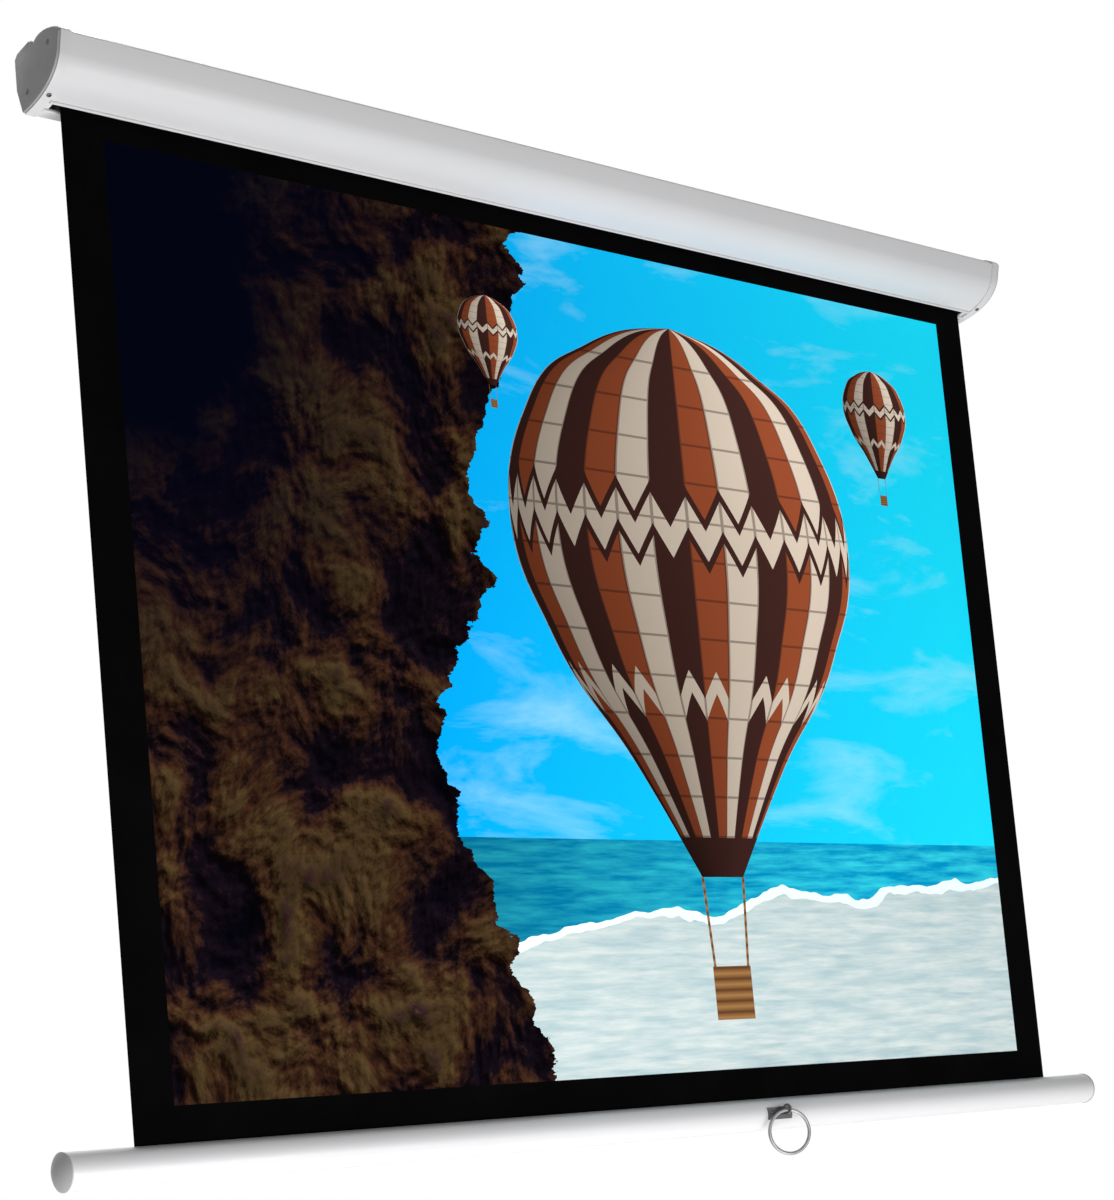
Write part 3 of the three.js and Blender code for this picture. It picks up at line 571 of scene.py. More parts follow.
brushed, start, end = new_group(
    "brushed_metal",
    [("Color", "Color", (0.6, 0.6, 0.6, 1)), ("Roughness", "Float", 0.35),
     ("Stretch", "Vector", (1, 1, 1)), ("Scratch Depth", "Float", 0.00001)],
    [("Color", "Color"), ("Roughness", "Float"), ("Normal", "Vector")],
)
here = add(brushed, "TexCoord").outputs["Object"]
streaks = noise(brushed, stretched(brushed, here, start.outputs["Stretch"]), 1, rough=0.6)
stains = noise(brushed, here, 60, detail=4, rough=0.5)
tone = ramp(brushed, stains, 0.3, 0.7, 0.86, 1.08)
rubbed = ramp(
    brushed, streaks, 0.3, 0.7, calc(brushed, "MULTIPLY", start.outputs["Roughness"], 0.75),
    calc(brushed, "MULTIPLY", start.outputs["Roughness"], 1.3),
)
relief = add(brushed, "Bump", {
    "Height": streaks, "Distance": start.outputs["Scratch Depth"], "Strength": 1,
})
brushed.links.new(scaled(brushed, start.outputs["Color"], tone), end.inputs["Color"])
brushed.links.new(rubbed, end.inputs["Roughness"])
brushed.links.new(relief.outputs[0], end.inputs["Normal"])


def metal(name, color, roughness, stretch, depth=0.00001):
    """Bare or plated metal: streaks that run along the axis with the least stretch."""
    material, shader = skinned(name, brushed, {
        "Color": (*color, 1), "Roughness": roughness, "Stretch": stretch, "Scratch Depth": depth,
    })
    shader.inputs["Metallic"].default_value = 1
    return material


screw_steel = metal(
    "blackened_steel", (0.13, 0.13, 0.14), roughness=0.38, stretch=(900, 900, 900),
)
head_radius, head_height = 0.0034, 0.0013
head_rings = ((1, 0), (0.99, 0.35), (0.9, 0.7), (0.66, 0.93), (0.3, 1))
shank_radius = 0.0018
tip_share, taper_share = 0.6, 0.9
cross_reach = 0.0019
cross_half = 0.0004
cross_depth = 0.0008


def polyline(bm, points):
    """Draws a line through points and returns its edges."""
    corners = [bm.verts.new(p) for p in points]
    return [bm.edges.new(pair) for pair in zip(corners, corners[1:])]


def full_turn(bm, axis, steps, centre=(0, 0, 0)):
    """Spins all that a bmesh holds once round an axis."""
    bmesh.ops.spin(
        bm, geom=[*bm.verts, *bm.edges], cent=centre, axis=axis, dvec=(0, 0, 0),
        angle=2 * math.pi, steps=steps, use_merge=True, use_duplicate=False,
    )
    bmesh.ops.remove_doubles(bm, verts=bm.verts, dist=near)
    face_out(bm)


def make_screw(name, body, seat, outward, length):
    """A screw whose head stands on a seat and whose shank runs the other way."""
    profile = [(0, -length), (shank_radius * tip_share, -length)]
    profile += [(shank_radius, -length * taper_share), (shank_radius, 0)]
    profile += [(head_radius * out, head_height * up) for out, up in head_rings]
    profile.append((0, head_height))
    bm = bmesh.new()
    polyline(bm, [(out, 0, up) for out, up in profile])
    full_turn(bm, (0, 0, 1), steps=28)
    floor_of_cross, over_head = head_height - cross_depth, head_height * 2
    bm = combine(
        bm, "DIFFERENCE",
        slab((-cross_reach, -cross_half, floor_of_cross), (cross_reach, cross_half, over_head)),
        slab((-cross_half, -cross_reach, floor_of_cross), (cross_half, cross_reach, over_head)),
    )
    turn = Vector(outward).to_track_quat("Z", "Y").to_matrix().to_4x4()
    bmesh.ops.transform(bm, matrix=Matrix.Translation(seat) @ turn, verts=bm.verts)
    finished(bm, f"{name}_head", body, screw_steel, [name], smooth=35)


def make_level_screw(name, body, outward):
    """A screw along one of the axes, its place read from the CAD node it stands for."""
    low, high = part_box(name)
    outward = Vector(outward)
    reach = abs((high - low).dot(outward))
    seat = middle_of(name) + outward * (reach / 2 - head_height)
    make_screw(name, body, seat, outward, reach - head_height)


def belly_at(depth):
    """The belly's height at a depth, and its normal."""
    loop = section_loop(ear=False)
    edge = next(
        e for e in loop.edges
        if min(v.co.y for v in e.verts) <= depth < max(v.co.y for v in e.verts)
        and max(v.co.z for v in e.verts) < strip_foot
    )
    a, b = sorted((v.co.copy() for v in edge.verts), key=lambda p: p.y)
    loop.free()
    along = (b - a).normalized()
    return between(a.z, b.z, (depth - a.y) / (b.y - a.y)), Vector((0, along.z, -along.y))


belly_screw_depth = 0.048
belly_screw_lift = 0.0015
screw_length = 0.007
for name, side in ends:
    outward = Vector((side, 0, 0))
    for number in (1, 2):
        make_level_screw(f"cover_screw_{name}_{number}", "case", outward)
        make_level_screw(f"plate_screw_{name}_{number}", "case", -outward)
        make_level_screw(f"bracket_screw_{name}_{number}", "case", (0, 0, 1))
    depth = case_front + belly_screw_depth
    height, normal = belly_at(depth)
    side_x = middle_of(f"belly_screw_{name}").x
    seat = Vector((side_x, depth, height)) + normal * belly_screw_lift
    make_screw(f"belly_screw_{name}", "case", seat, normal, screw_length)

# Wall brackets
# Zinc-plated steel angles, 2 mm thick and bent round a small radius. The foot is screwed to
# the ledge of the case, and the leg hangs on a wall screw by its keyhole.
zinc = metal("zinc_plate", (0.60, 0.62, 0.65), roughness=0.34, stretch=(60, 220, 60))
sheet_steel = 0.002
bend_radius = 0.004
corner_radius = 0.005
key_radius, key_slot, key_drop, key_rise = 0.005, 0.0025, 0.009, 0.014
screw_hole = 0.0021


def round_corners(bm, corners, offset, steps=5):
    """Rounds the short edges that stand at the given corners, found by a test on both ends."""
    chosen = [e for e in bm.edges if all(corners(v.co) for v in e.verts)]
    round_edges(bm, chosen, offset, steps)


def make_wall_bracket(name):
    low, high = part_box(f"wall_bracket_{name}")
    bm = bmesh.new()
    bent = ((low.y, low.z), (high.y, low.z), (high.y, high.z))
    path = polyline(bm, [(low.x, y, z) for y, z in bent])
    push(bm, path, (high.x - low.x, 0, 0))

    def at_bend(p):
        return abs(p.y - high.y) < near and abs(p.z - low.z) < near

    round_corners(bm, at_bend, bend_radius, steps=6)
    foot = min(bm.faces, key=lambda f: f.calc_center_median().z)
    face_out(bm)
    if foot.normal.z > 0:
        bmesh.ops.reverse_faces(bm, faces=bm.faces)
    thicken(bm, sheet_steel)

    def at_side(p):
        return min(abs(p.x - low.x), abs(p.x - high.x)) < near

    round_corners(bm, lambda p: at_side(p) and abs(p.z - high.z) < near, corner_radius)
    round_corners(bm, lambda p: at_side(p) and abs(p.y - low.y) < near, corner_radius)
    middle, key_z = (low.x + high.x) / 2, low.z + key_rise
    front, back = high.y - 2 * sheet_steel, high.y + sheet_steel
    cuts = [
        cylinder((middle, front, key_z), (middle, back, key_z), key_radius),
        cylinder((middle, front, key_z + key_drop), (middle, back, key_z + key_drop), key_slot),
        slab((middle - key_slot, front, key_z), (middle + key_slot, back, key_z + key_drop)),
    ]
    for number in (1, 2):
        at = middle_of(f"bracket_screw_{name}_{number}")
        under, above = low.z - sheet_steel, low.z + 2 * sheet_steel
        cuts.append(cylinder((at.x, at.y, under), (at.x, at.y, above), screw_hole))
    bm = combine(bm, "DIFFERENCE", *cuts)
    finished(
        bm, f"bracket_{name}", "case", zinc, [f"wall_bracket_{name}"], smooth=35,
    )


for name, side in ends:
    make_wall_bracket(name)

# Roller and its bearings
# A galvanised tube on nylon plugs. Round steel plates inside the caps carry a plain pin at the
# right end, and at the left end the flat tongue of the shaft that the spring winds against.
roller_steel = metal(
    "galvanised_tube", (0.50, 0.52, 0.54), roughness=0.36, stretch=(12, 500, 500),
)
bright_steel = metal("bright_steel", (0.55, 0.55, 0.56), roughness=0.28, stretch=(20, 700, 700))
nylon = grained(
    "nylon", (0.66, 0.63, 0.54), roughness=0.5, grain_size=0.0009, grain_depth=0.00004,
    mottle=0.05,
)
nylon_shader = nylon.node_tree.nodes["Principled BSDF"]
nylon_shader.inputs["Subsurface Weight"].default_value = 0.15
nylon_shader.inputs["Subsurface Scale"].default_value = 0.004


def dress(material, *names, smooth=32):
    """Gives CAD nodes their finish, with shared corners and soft shading on the round faces."""
    for name in names:
        node = nodes[name]
        for held in node.material_slots:
            held.material = material
        node.data.polygons.foreach_set("use_smooth", [True] * len(node.data.polygons))
        node.modifiers.new("shared_corners", "WELD").merge_threshold = 1e-5
        node.modifiers.new("sharp_edges", "EDGE_SPLIT").split_angle = math.radians(smooth)


dress(roller_steel, "roller_tube")
dress(zinc, "bearing_plate_left", "bearing_plate_right")
dress(bright_steel, "gudgeon_pin", "spear_shaft", "pawl_pin_upper", "pawl_pin_lower")
dress(nylon, "roller_plug_left", "roller_plug_right", "bush_left", "bush_right")
dress(nylon, "spring_collar", "spring_anchor")

# Spring and ratchet
# Oiled spring wire round the fixed shaft, and a hardened wheel with two pawls that drop into
# its notches when the screen is let go slowly.
oiled_steel = metal(
    "oiled_spring_steel", (0.17, 0.165, 0.16), roughness=0.3, stretch=(200, 200, 200),
)
hardened_steel = metal(
    "hardened_steel", (0.24, 0.235, 0.23), roughness=0.34, stretch=(300, 900, 900),
)
dress(oiled_steel, "torsion_spring", smooth=80)
dress(hardened_steel, "ratchet_wheel", "pawl_upper", "pawl_lower")

# Screen fabric
# Matt vinyl on a woven base: a picture with black borders on the front, black behind. It hangs
# from the roller through the slot, and its hem holds a rod inside the bottom bar.
cloth_thickness = 0.00045
wave_height = 0.0006
broad_wave, narrow_wave = 5.1, 11.3
thread = 0.0012
picture_half = 0.8
picture_low, picture_high = -1.2755, -0.0755

weave, start, end = new_group(
    "cloth_weave",
    [("Thread", "Float", 0.001), ("Depth", "Float", 0.0001)], [("Normal", "Vector")],
)
here = add(weave, "TexCoord").outputs["Object"]
place = add(weave, "SeparateXYZ", {0: here})
turns = calc(weave, "DIVIDE", math.pi, start.outputs["Thread"])
warp = calc(weave, "SINE", calc(weave, "MULTIPLY", place.outputs["X"], turns))
weft = calc(weave, "SINE", calc(weave, "MULTIPLY", place.outputs["Z"], turns))
slub = noise(weave, here, 90, detail=3, rough=0.5)
knit = calc(weave, "ADD", calc(weave, "MULTIPLY", warp, weft), slub)
relief = add(weave, "Bump", {"Height": knit, "Distance": start.outputs["Depth"], "Strength": 1})
weave.links.new(relief.outputs[0], end.inputs["Normal"])


def blend(tree, share, first, second):
    """Mixes two colours; the result is a socket."""
    return add(tree, "Mix", {0: share, 6: first, 7: second}, data_type="RGBA").outputs[2]


# A balloon of striped gores with zigzag bands, on ropes over a wicker basket. Its shape is a
# radius curve over the height, and the gores narrow towards its edges.
rust, cream, umber = (0.33, 0.075, 0.028, 1), (0.74, 0.62, 0.50, 1), (0.055, 0.020, 0.016, 1)
dark_cane, light_cane = (0.10, 0.04, 0.015, 1), (0.34, 0.17, 0.06, 1)
balloon_profile = (
    (0, 0.12), (0.2, 0.44), (0.42, 0.84), (0.62, 1), (0.82, 0.85), (0.94, 0.5), (1, 0),
)
mouth = -1.35
high_band, high_swing, high_half, high_edge = 0.66, 0.12, 0.028, 0.05
low_band, low_swing, low_half = 0.3, -0.1, 0.02
skirt_top = 0.07
gores_ahead = 30
seam_width, tape_rows, tape_width, stitch_shade = 0.045, 14, 0.03, 0.55
basket_middle, basket_half = -1.83, 0.11
rope_middle, rope_half, rope_thickness = -1.54, 0.19, 0.007
balloon, start, end = new_group(
    "striped_balloon",
    [("Across", "Float", 0), ("Up", "Float", 0), ("Size", "Float", 1), ("Gores", "Float", 15)],
    [("Color", "Color"), ("Mask", "Float")],
)
across = calc(balloon, "DIVIDE", start.outputs["Across"], start.outputs["Size"])
up = calc(balloon, "DIVIDE", start.outputs["Up"], start.outputs["Size"])
rise = ramp(balloon, up, mouth, 1)
outline = add(balloon, "FloatCurve", {"Value": rise})
held = outline.mapping.curves[0].points
for spot in balloon_profile[1:-1]:
    held.new(*spot)
held[0].location, held[len(held) - 1].location = balloon_profile[0], balloon_profile[-1]
outline.mapping.update()
half = calc(balloon, "MAXIMUM", outline.outputs[0], 0.001)
ratio = calc(balloon, "DIVIDE", across, half)
envelope = calc(
    balloon, "MULTIPLY", calc(balloon, "COMPARE", ratio, 0, 1),
    calc(balloon, "COMPARE", up, (1 + mouth) / 2, (1 - mouth) / 2),
)
turned = calc(balloon, "ARCSINE", calc(balloon, "MAXIMUM", calc(balloon, "MINIMUM", ratio, 1), -1))
per_turn = calc(balloon, "DIVIDE", start.outputs["Gores"], math.pi)
gore = calc(balloon, "MULTIPLY_ADD", turned, per_turn, gores_ahead)
pick = calc(balloon, "MODULO", calc(balloon, "FLOOR", gore), 3)
cloth = blend(balloon, calc(balloon, "COMPARE", pick, 1, 0.5), rust, cream)
cloth = blend(balloon, calc(balloon, "COMPARE", pick, 2, 0.5), cloth, umber)
swing = calc(balloon, "PINGPONG", gore, 0.5)
zigzag = calc(balloon, "SUBTRACT", rise, high_band)
zigzag = calc(balloon, "MULTIPLY_ADD", swing, high_swing, zigzag)
cloth = blend(balloon, calc(balloon, "COMPARE", zigzag, 0, high_edge), cloth, umber)
cloth = blend(balloon, calc(balloon, "COMPARE", zigzag, 0, high_half), cloth, cream)
lower_zigzag = calc(balloon, "SUBTRACT", rise, low_band)
lower_zigzag = calc(balloon, "MULTIPLY_ADD", swing, low_swing, lower_zigzag)
cloth = blend(balloon, calc(balloon, "COMPARE", lower_zigzag, 0, low_half), cloth, cream)
cloth = blend(balloon, calc(balloon, "LESS_THAN", rise, skirt_top), cloth, umber)
seam = calc(balloon, "LESS_THAN", swing, seam_width)
tapes = calc(balloon, "PINGPONG", calc(balloon, "MULTIPLY", rise, tape_rows), 0.5)
stitched = calc(balloon, "MAXIMUM", seam, calc(balloon, "LESS_THAN", tapes, tape_width))
cloth = blend(balloon, calc(balloon, "MULTIPLY", stitched, stitch_shade), cloth, umber)
lit_side = ramp(balloon, ratio, -1, 0.7, 0.34, 1.05)
lit_crown = ramp(balloon, rise, 0, 0.8, 0.62, 1.08)
cloth = scaled(balloon, cloth, calc(balloon, "MULTIPLY", lit_side, lit_crown))
sway = calc(balloon, "ABSOLUTE", across)
basket = calc(
    balloon, "MULTIPLY", calc(balloon, "LESS_THAN", sway, basket_half),
    calc(balloon, "COMPARE", up, basket_middle, basket_half),
)
rope_reach = calc(balloon, "MULTIPLY_ADD", up, 0.06, 0.2)
rope = calc(
    balloon, "MULTIPLY", calc(balloon, "COMPARE", sway, rope_reach, rope_thickness),
    calc(balloon, "COMPARE", up, rope_middle, rope_half),
)
wicker = calc(balloon, "PINGPONG", calc(balloon, "MULTIPLY", up, 22), 0.5)
cane = blend(balloon, ramp(balloon, wicker, 0, 0.5), dark_cane, light_cane)
whole = blend(balloon, envelope, cane, cloth)
mask = calc(balloon, "MAXIMUM", envelope, calc(balloon, "MAXIMUM", basket, rope))
balloon.links.new(whole, end.inputs["Color"])
balloon.links.new(mask, end.inputs["Mask"])

screen_face = bpy.data.materials.new("picture_on_matt_vinyl_with_painted_glow")
screen_face.use_nodes = True
tree = screen_face.node_tree
face_shader = tree.nodes["Principled BSDF"]
point = add(tree, "TexCoord").outputs["Object"]
place = add(tree, "SeparateXYZ", {0: point})
across = place.outputs["X"]
up = calc(tree, "SUBTRACT", place.outputs["Z"], (picture_low + picture_high) / 2)

# The picture's sky and sea, with the horizon below its middle
horizon = -0.27
deep_sky, bright_sky = (0.0, 0.36, 0.90, 1), (0.01, 0.72, 0.97, 1)
cloud_white = (0.55, 0.86, 0.96, 1)
deep_sea, bright_sea, dark_bay = (0.0, 0.27, 0.52, 1), (0.03, 0.60, 0.74, 1), (0.0, 0.05, 0.11, 1)
sky = blend(tree, ramp(tree, across, -0.45, 0.75), deep_sky, bright_sky)
streamers = noise(
    tree, stretched(tree, point, (1.3, 1, 4.5)), 2.4, detail=8, rough=0.6, warp=0.4,
)
wisps = ramp(tree, streamers, 0.52, 0.8, 0, 0.5)
sky = blend(tree, wisps, sky, cloud_white)
ripples = noise(tree, stretched(tree, point, (1, 1, 9)), 14, detail=5)
sea = blend(tree, ramp(tree, ripples, 0.35, 0.7), deep_sea, bright_sea)
sea = blend(tree, ramp(tree, across, -0.45, 0.4, 0.75, 0), sea, dark_bay)
scene = blend(tree, calc(tree, "LESS_THAN", up, horizon), sky, sea)

# The pale beach, with a line of foam along the water
wet_sand, dry_sand = (0.38, 0.52, 0.55, 1), (0.66, 0.72, 0.70, 1)
foam_white = (0.80, 0.92, 0.94, 1)
foam_width = 0.012
rising = calc(tree, "MULTIPLY_ADD", across, 0.1, -0.3)
shore = calc(tree, "MULTIPLY_ADD", noise(tree, point, 2.2, detail=5), -0.22, rising)
sand = blend(tree, ramp(tree, ripples, 0.3, 0.75), wet_sand, dry_sand)
foam = calc(tree, "ADD", shore, foam_width)
scene = blend(tree, calc(tree, "LESS_THAN", up, foam), scene, foam_white)
scene = blend(tree, calc(tree, "LESS_THAN", up, shore), scene, sand)

# The dark cliffs at the left, lit from their upper right
night_blue = (0.0006, 0.0010, 0.0055, 1)
grain_of_rock = noise(tree, point, 7, detail=10, rough=0.65, warp=0.3)
cliff = add(tree, "ValToRGB", {0: grain_of_rock})
stops = cliff.color_ramp.elements
rock_colors = (
    (0.30, (0.0006, 0.0006, 0.002, 1)), (0.44, (0.004, 0.002, 0.004, 1)),
    (0.51, (0.026, 0.010, 0.005, 1)), (0.58, (0.040, 0.024, 0.009, 1)),
    (0.66, (0.014, 0.005, 0.007, 1)), (0.8, (0.085, 0.048, 0.034, 1)),
)
for number, (spot, color) in enumerate(rock_colors):
    stop = stops[number] if number < 2 else stops.new(spot)
    stop.position, stop.color = spot, color
lightward = add(tree, "VectorMath", {0: point, 1: (0.006, 0, 0.008)}, operation="ADD")
shadow = noise(tree, lightward.outputs[0], 7, detail=10, rough=0.65, warp=0.3)
facing = calc(tree, "SUBTRACT", grain_of_rock, shadow)
stone = scaled(tree, cliff.outputs[0], ramp(tree, facing, -0.06, 0.06, 0.25, 1.9))
crags = noise(tree, stretched(tree, point, (0.45, 1, 1)), 2.6, detail=9, rough=0.6)
brink = calc(tree, "MULTIPLY_ADD", crags, 0.75, -0.70)
brink = calc(tree, "ADD", brink, calc(tree, "MULTIPLY", calc(tree, "ABSOLUTE", up), 0.22))
dusk = ramp(tree, calc(tree, "ADD", up, calc(tree, "MULTIPLY", grain_of_rock, 0.3)), 0.0, 0.42)
inland = ramp(tree, calc(tree, "SUBTRACT", brink, across), 0.1, 0.42)
rock = blend(tree, calc(tree, "MULTIPLY", dusk, inland), stone, night_blue)
scene = blend(tree, calc(tree, "LESS_THAN", across, brink), scene, rock)

# Three balloons, the nearest one large
balloons = ((0.17, 0.15, 0.35, 15), (0.62, 0.42, 0.075, 9), (-0.19, 0.44, 0.055, 9))
for side_step, lift, size, gores in balloons:
    flown = add(tree, "Group", node_tree=balloon)
    tree.links.new(calc(tree, "SUBTRACT", across, side_step), flown.inputs["Across"])
    tree.links.new(calc(tree, "SUBTRACT", up, lift), flown.inputs["Up"])
    flown.inputs["Size"].default_value = size
    flown.inputs["Gores"].default_value = gores
    scene = blend(tree, flown.outputs["Mask"], scene, flown.outputs["Color"])

# The black border round the picture, the print's finish, and a painted glow: the picture also
# emits its own colour, so it shines brighter than the lamps light it
printed = calc(
    tree, "MULTIPLY", calc(tree, "COMPARE", across, 0, picture_half),
    calc(tree, "COMPARE", up, 0, (picture_high - picture_low) / 2),
)
uneven = ramp(tree, noise(tree, point, 12), 0.3, 0.7)
border = blend(tree, uneven, (0.0010, 0.0010, 0.0011, 1), (0.0018, 0.0018, 0.0020, 1))
shown = blend(tree, printed, border, scene)
tree.links.new(shown, face_shader.inputs["Base Color"])
# Painted glow: the picture's colour feeds the emission at strength 0.35, as if more light fell on
# the print.
tree.links.new(shown, face_shader.inputs["Emission Color"])
face_shader.inputs["Emission Strength"].default_value = 0.35
threads = add(tree, "Group", {"Thread": thread, "Depth": 0.00008}, node_tree=weave)
tree.links.new(threads.outputs["Normal"], face_shader.inputs["Normal"])
face_shader.inputs["Roughness"].default_value = 0.85
face_shader.inputs["Specular IOR Level"].default_value = 0.01

screen_back = bpy.data.materials.new("black_vinyl_back")
screen_back.use_nodes = True
tree = screen_back.node_tree
back_shader = tree.nodes["Principled BSDF"]
point = add(tree, "TexCoord").outputs["Object"]
faded = ramp(tree, noise(tree, point, 5), 0.3, 0.7)
black = blend(tree, faded, (0.010, 0.010, 0.011, 1), (0.016, 0.016, 0.017, 1))
dulled = ramp(tree, noise(tree, point, 30), 0.3, 0.7, 0.5, 0.66)
tree.links.new(black, back_shader.inputs["Base Color"])
tree.links.new(dulled, back_shader.inputs["Roughness"])
threads = add(tree, "Group", {"Thread": thread, "Depth": 0.00012}, node_tree=weave)
tree.links.new(threads.outputs["Normal"], back_shader.inputs["Normal"])

bm = bmesh.new()
bmesh.ops.create_grid(bm, x_segments=86, y_segments=66, size=0.5)
width, length = fabric_high.x - fabric_low.x, fabric_high.z - fabric_low.z
bmesh.ops.scale(bm, vec=(width, length, 1), verts=bm.verts)
bmesh.ops.rotate(bm, matrix=Matrix.Rotation(math.radians(90), 3, "X"), verts=bm.verts)
bmesh.ops.translate(bm, vec=(0, fabric_plane, (fabric_low.z + fabric_high.z) / 2), verts=bm.verts)
# Broad and narrow waves across the width, which die out at the roller and at the bar
for corner in bm.verts:
    down = (fabric_high.z - corner.co.z) / length
    loose = math.sin(math.pi * min(1, max(0, down))) ** 0.5
    broad = math.sin(corner.co.x * broad_wave + 0.7 * math.sin(down * 3))
    narrow = 0.5 * math.sin(corner.co.x * narrow_wave + down * 2)
    corner.co.y += wave_height * loose * (broad + narrow) / 1.5
thicken(bm, cloth_thickness)
for face in bm.faces:
    face.material_index = 0 if face.normal.y < -0.5 else 1
fabric = finished(bm, "fabric", "case", screen_face, ["screen_fabric"])
fabric.data.materials.append(screen_back)
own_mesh(fabric)

# Spare turns on the roller
# The last turns of the same fabric, which never leave the tube. They lie in one spiral that
# ends where the hanging part begins.
roll_low, roll_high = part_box("fabric_roll")
tube_low, tube_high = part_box("roller_tube")
roll_turns = 2.25
roll_pitch = 0.001
steps_per_turn = 72
axis_y, axis_z = (tube_low.y + tube_high.y) / 2, (tube_low.z + tube_high.z) / 2
outer_turn = fabric_plane - axis_y
spiral = []
for step in range(round(roll_turns * steps_per_turn) + 1):
    turns = step / steps_per_turn
    radius, angle = outer_turn - turns * roll_pitch, 2 * math.pi * turns
    y, z = axis_y + radius * math.cos(angle), axis_z + radius * math.sin(angle)
    spiral.append((roll_low.x, y, z))
bm = bmesh.new()
lines = polyline(bm, spiral)
push(bm, lines, (roll_high.x - roll_low.x, 0, 0))
face_out(bm)
thicken(bm, cloth_thickness)
spare_turns = finished(bm, "spare_turns", "roller", screen_back, ["fabric_roll"])

# Bottom bar
# A painted aluminium tube with a round pocket along its top. The hem of the fabric is drawn
# into the pocket from the end, with a steel rod in it that is wider than the slot.
bar_low, bar_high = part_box("bar_tube")
bar_radius = (bar_high.y - bar_low.y) / 2
bar_wall = 0.002
bar_z = bar_low.z + bar_radius
pocket_radius = 0.005
pocket_wall = 0.0016
pocket_z = bar_z + bar_radius - bar_wall - pocket_radius
slot_reach = 0.0015
eye_hole_radius = 0.0021
over = 0.01


def along_bar(radius, z, extra=0.0, sides=96):
    """A cylinder as long as the bar, at a height."""
    start, stop = bar_low.x - extra, bar_high.x + extra
    return cylinder((start, fabric_plane, z), (stop, fabric_plane, z), radius, sides)


def eye_screw_holes():
    """Two holes through the bar and its eye plate."""
    points = [middle_of(f"eye_screw_{number}") for number in (1, 2)]
    front, back = bar_low.y - over, bar_low.y + over
    return [cylinder((p.x, front, p.z), (p.x, back, p.z), eye_hole_radius) for p in points]


bore = along_bar(bar_radius - bar_wall, bar_z, over)
bm = combine(along_bar(bar_radius, bar_z), "DIFFERENCE", bore)
bm = combine(bm, "UNION", along_bar(pocket_radius + pocket_wall, pocket_z, sides=40))
bm = combine(
    bm, "DIFFERENCE", along_bar(pocket_radius, pocket_z, over, sides=40),
    slab((bar_low.x - over, fabric_plane - slot_reach, pocket_z),
         (bar_high.x + over, fabric_plane + slot_reach, bar_high.z + over)),
    *eye_screw_holes(),
)
finished(bm, "bar", "bar", white_paint, ["bar_tube"], smooth=30)
dress(bright_steel, "hem_rod")

# Hem
# The foot of the fabric, folded back and welded into a sleeve round the steel rod in the bar.
# It rides on the bar.
rod_low, rod_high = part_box("hem_rod")
hem_play = 0.0002
hem_wall = 0.00025
hem_radius = (rod_high.y - rod_low.y) / 2 + hem_play
hem_z = middle_of("hem_rod").z
bm = cylinder((rod_low.x, fabric_plane, hem_z), (rod_high.x, fabric_plane, hem_z), hem_radius)
bmesh.ops.delete(bm, geom=[f for f in bm.faces if abs(f.normal.x) > 0.5], context="FACES")
thicken(bm, -hem_wall)
hem = finished(bm, "hem", "bar", screen_back)

# Bar caps
# Domed plugs of grey moulded plastic that close both ends of the bar. Each has a short stem
# that grips the bore.
cap_grey = grained(
    "grey_cap_plastic", (0.44, 0.44, 0.445), roughness=0.44, grain_size=0.0006,
    grain_depth=0.00005, mottle=0.04,
)
stem_radius = 0.009
cap_land = 0.0015
dome_steps = 12


def make_bar_cap(name, side):
    low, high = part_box("bar_cap_right")
    radius = (high.y - low.y) / 2
    start, stop = bar_high.x + cap_play, high.x
    rim = start + cap_land
    dome_radius = (radius ** 2 + (stop - rim) ** 2) / (2 * (stop - rim))
    profile = [(low.x, 0), (low.x, stem_radius), (start, stem_radius), (start, radius)]
    for step in range(dome_steps + 1):
        angle = math.asin(radius / dome_radius) * (1 - step / dome_steps)
        profile.append((stop - dome_radius * (1 - math.cos(angle)), math.sin(angle) * dome_radius))
    bm = bmesh.new()
    polyline(bm, [(x, fabric_plane + out, bar_z) for x, out in profile])
    full_turn(bm, (1, 0, 0), steps=64, centre=(0, fabric_plane, bar_z))
    mirrored_to(bm, side)
    finished(
        bm, f"bar_end_{name}", "bar", cap_grey, [f"bar_cap_{name}"], smooth=35,
    )


for name, side in ends:
    make_bar_cap(name, side)

# Eye plate
# A strip of dark painted steel curved to the bar and screwed to its front, with a standing eye
# in which the pull ring swings.
dark_paint = grained(
    "dark_painted_steel", (0.075, 0.075, 0.08), roughness=0.36, grain_size=0.0012,
    grain_depth=0.00006, mottle=0.06, coat=0.2,
)
plate_low, plate_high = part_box("ring_eye_plate")
ring_low, ring_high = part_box("pull_ring")
plate_gap = 0.0003
plate_steel = 0.002
plate_half_turn = math.radians(20)
eye_radius, eye_bore, eye_half = 0.0075, 0.0045, 0.00125
just_inside = 0.999
wire_radius = 0.0025
ring_middle = middle_of("pull_ring")
ring_top = ring_high.z - wire_radius
eye_height = ring_top - plate_gap - wire_radius + eye_bore
eye_centre = Vector((ring_middle.x, ring_middle.y, eye_height))
bm = bmesh.new()
inner = bar_radius + plate_gap
polyline(bm, [(x, fabric_plane - inner, bar_z) for x in (plate_low.x, plate_high.x)])
about = (0, fabric_plane, bar_z)
to_foot = Matrix.Rotation(plate_half_turn, 3, "X")
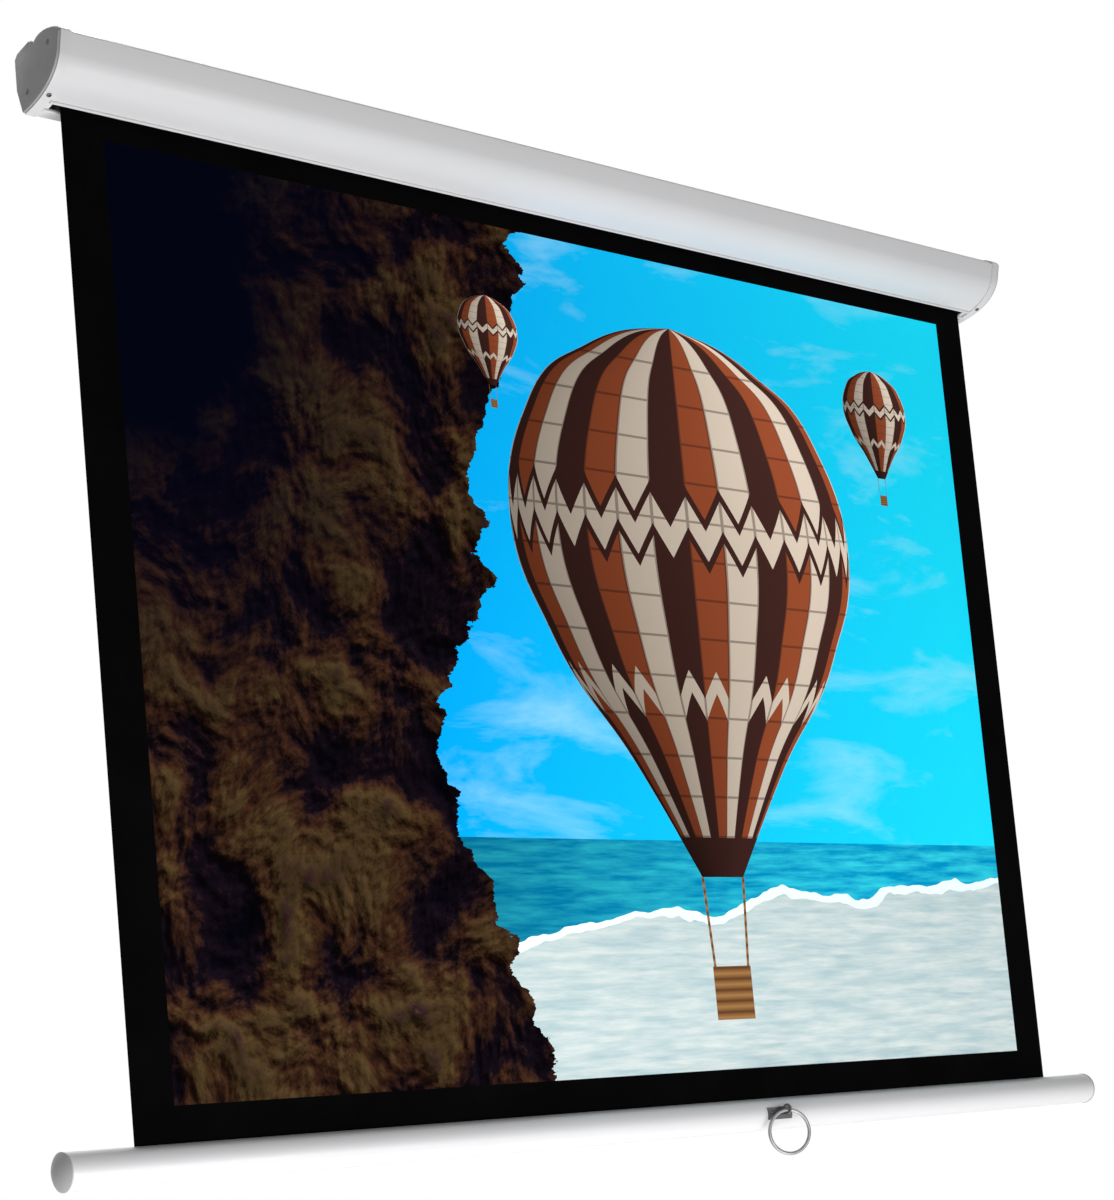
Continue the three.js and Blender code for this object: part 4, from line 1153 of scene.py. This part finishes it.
bmesh.ops.rotate(bm, cent=about, matrix=to_foot, verts=bm.verts)
bmesh.ops.spin(
    bm, geom=[*bm.verts, *bm.edges], cent=about, axis=(1, 0, 0), dvec=(0, 0, 0),
    angle=-2 * plate_half_turn, steps=16, use_merge=False, use_duplicate=False,
)
face_out(bm)
if min(bm.faces, key=lambda f: f.calc_center_median().y).normal.y > 0:
    bmesh.ops.reverse_faces(bm, faces=bm.faces)
thicken(bm, -plate_steel)


def across_eye(reach, radius):
    """A cylinder on the eye's axis, reaching as far to both sides."""
    away = Vector((reach, 0, 0))
    return cylinder(eye_centre - away, eye_centre + away, radius, sides=40)


tab = combine(
    across_eye(eye_half, eye_radius), "UNION",
    slab((eye_centre.x - eye_half, eye_centre.y, eye_centre.z - eye_radius * just_inside),
         (eye_centre.x + eye_half, fabric_plane, eye_centre.z + eye_bore)),
)
tab = combine(
    tab, "DIFFERENCE", across_eye(over, eye_bore),
    along_bar(inner + plate_steel / 2, bar_z, over),
)
bm = combine(bm, "UNION", tab)
bm = combine(bm, "DIFFERENCE", *eye_screw_holes())
finished(bm, "eye_plate", "bar", dark_paint, ["ring_eye_plate"], smooth=30)
for number in (1, 2):
    make_level_screw(f"eye_screw_{number}", "bar", (0, -1, 0))

# Pull ring
# Nickel-plated wire, 5 mm thick, bent to a ring and closed. It hangs loose in the eye of the
# plate, and swings up and forward.
nickel = metal(
    "nickel_plated_wire", (0.25, 0.246, 0.24), roughness=0.36, stretch=(120, 120, 120),
    depth=0.000004,
)
ring_radius = (ring_high.z - ring_low.z) / 2 - wire_radius
ring_turn = math.radians(-22)
bm = bmesh.new()
place = Matrix.Translation((ring_radius, 0, 0))
bmesh.ops.create_circle(bm, cap_ends=False, segments=16, radius=wire_radius, matrix=place)
full_turn(bm, (0, 1, 0), steps=96)
place = Matrix.Translation(ring_middle) @ Matrix.Rotation(ring_turn, 4, "Z")
bmesh.ops.transform(bm, matrix=place, verts=bm.verts)
finished(bm, "wire_ring", "ring", nickel, ["pull_ring"], smooth=60)
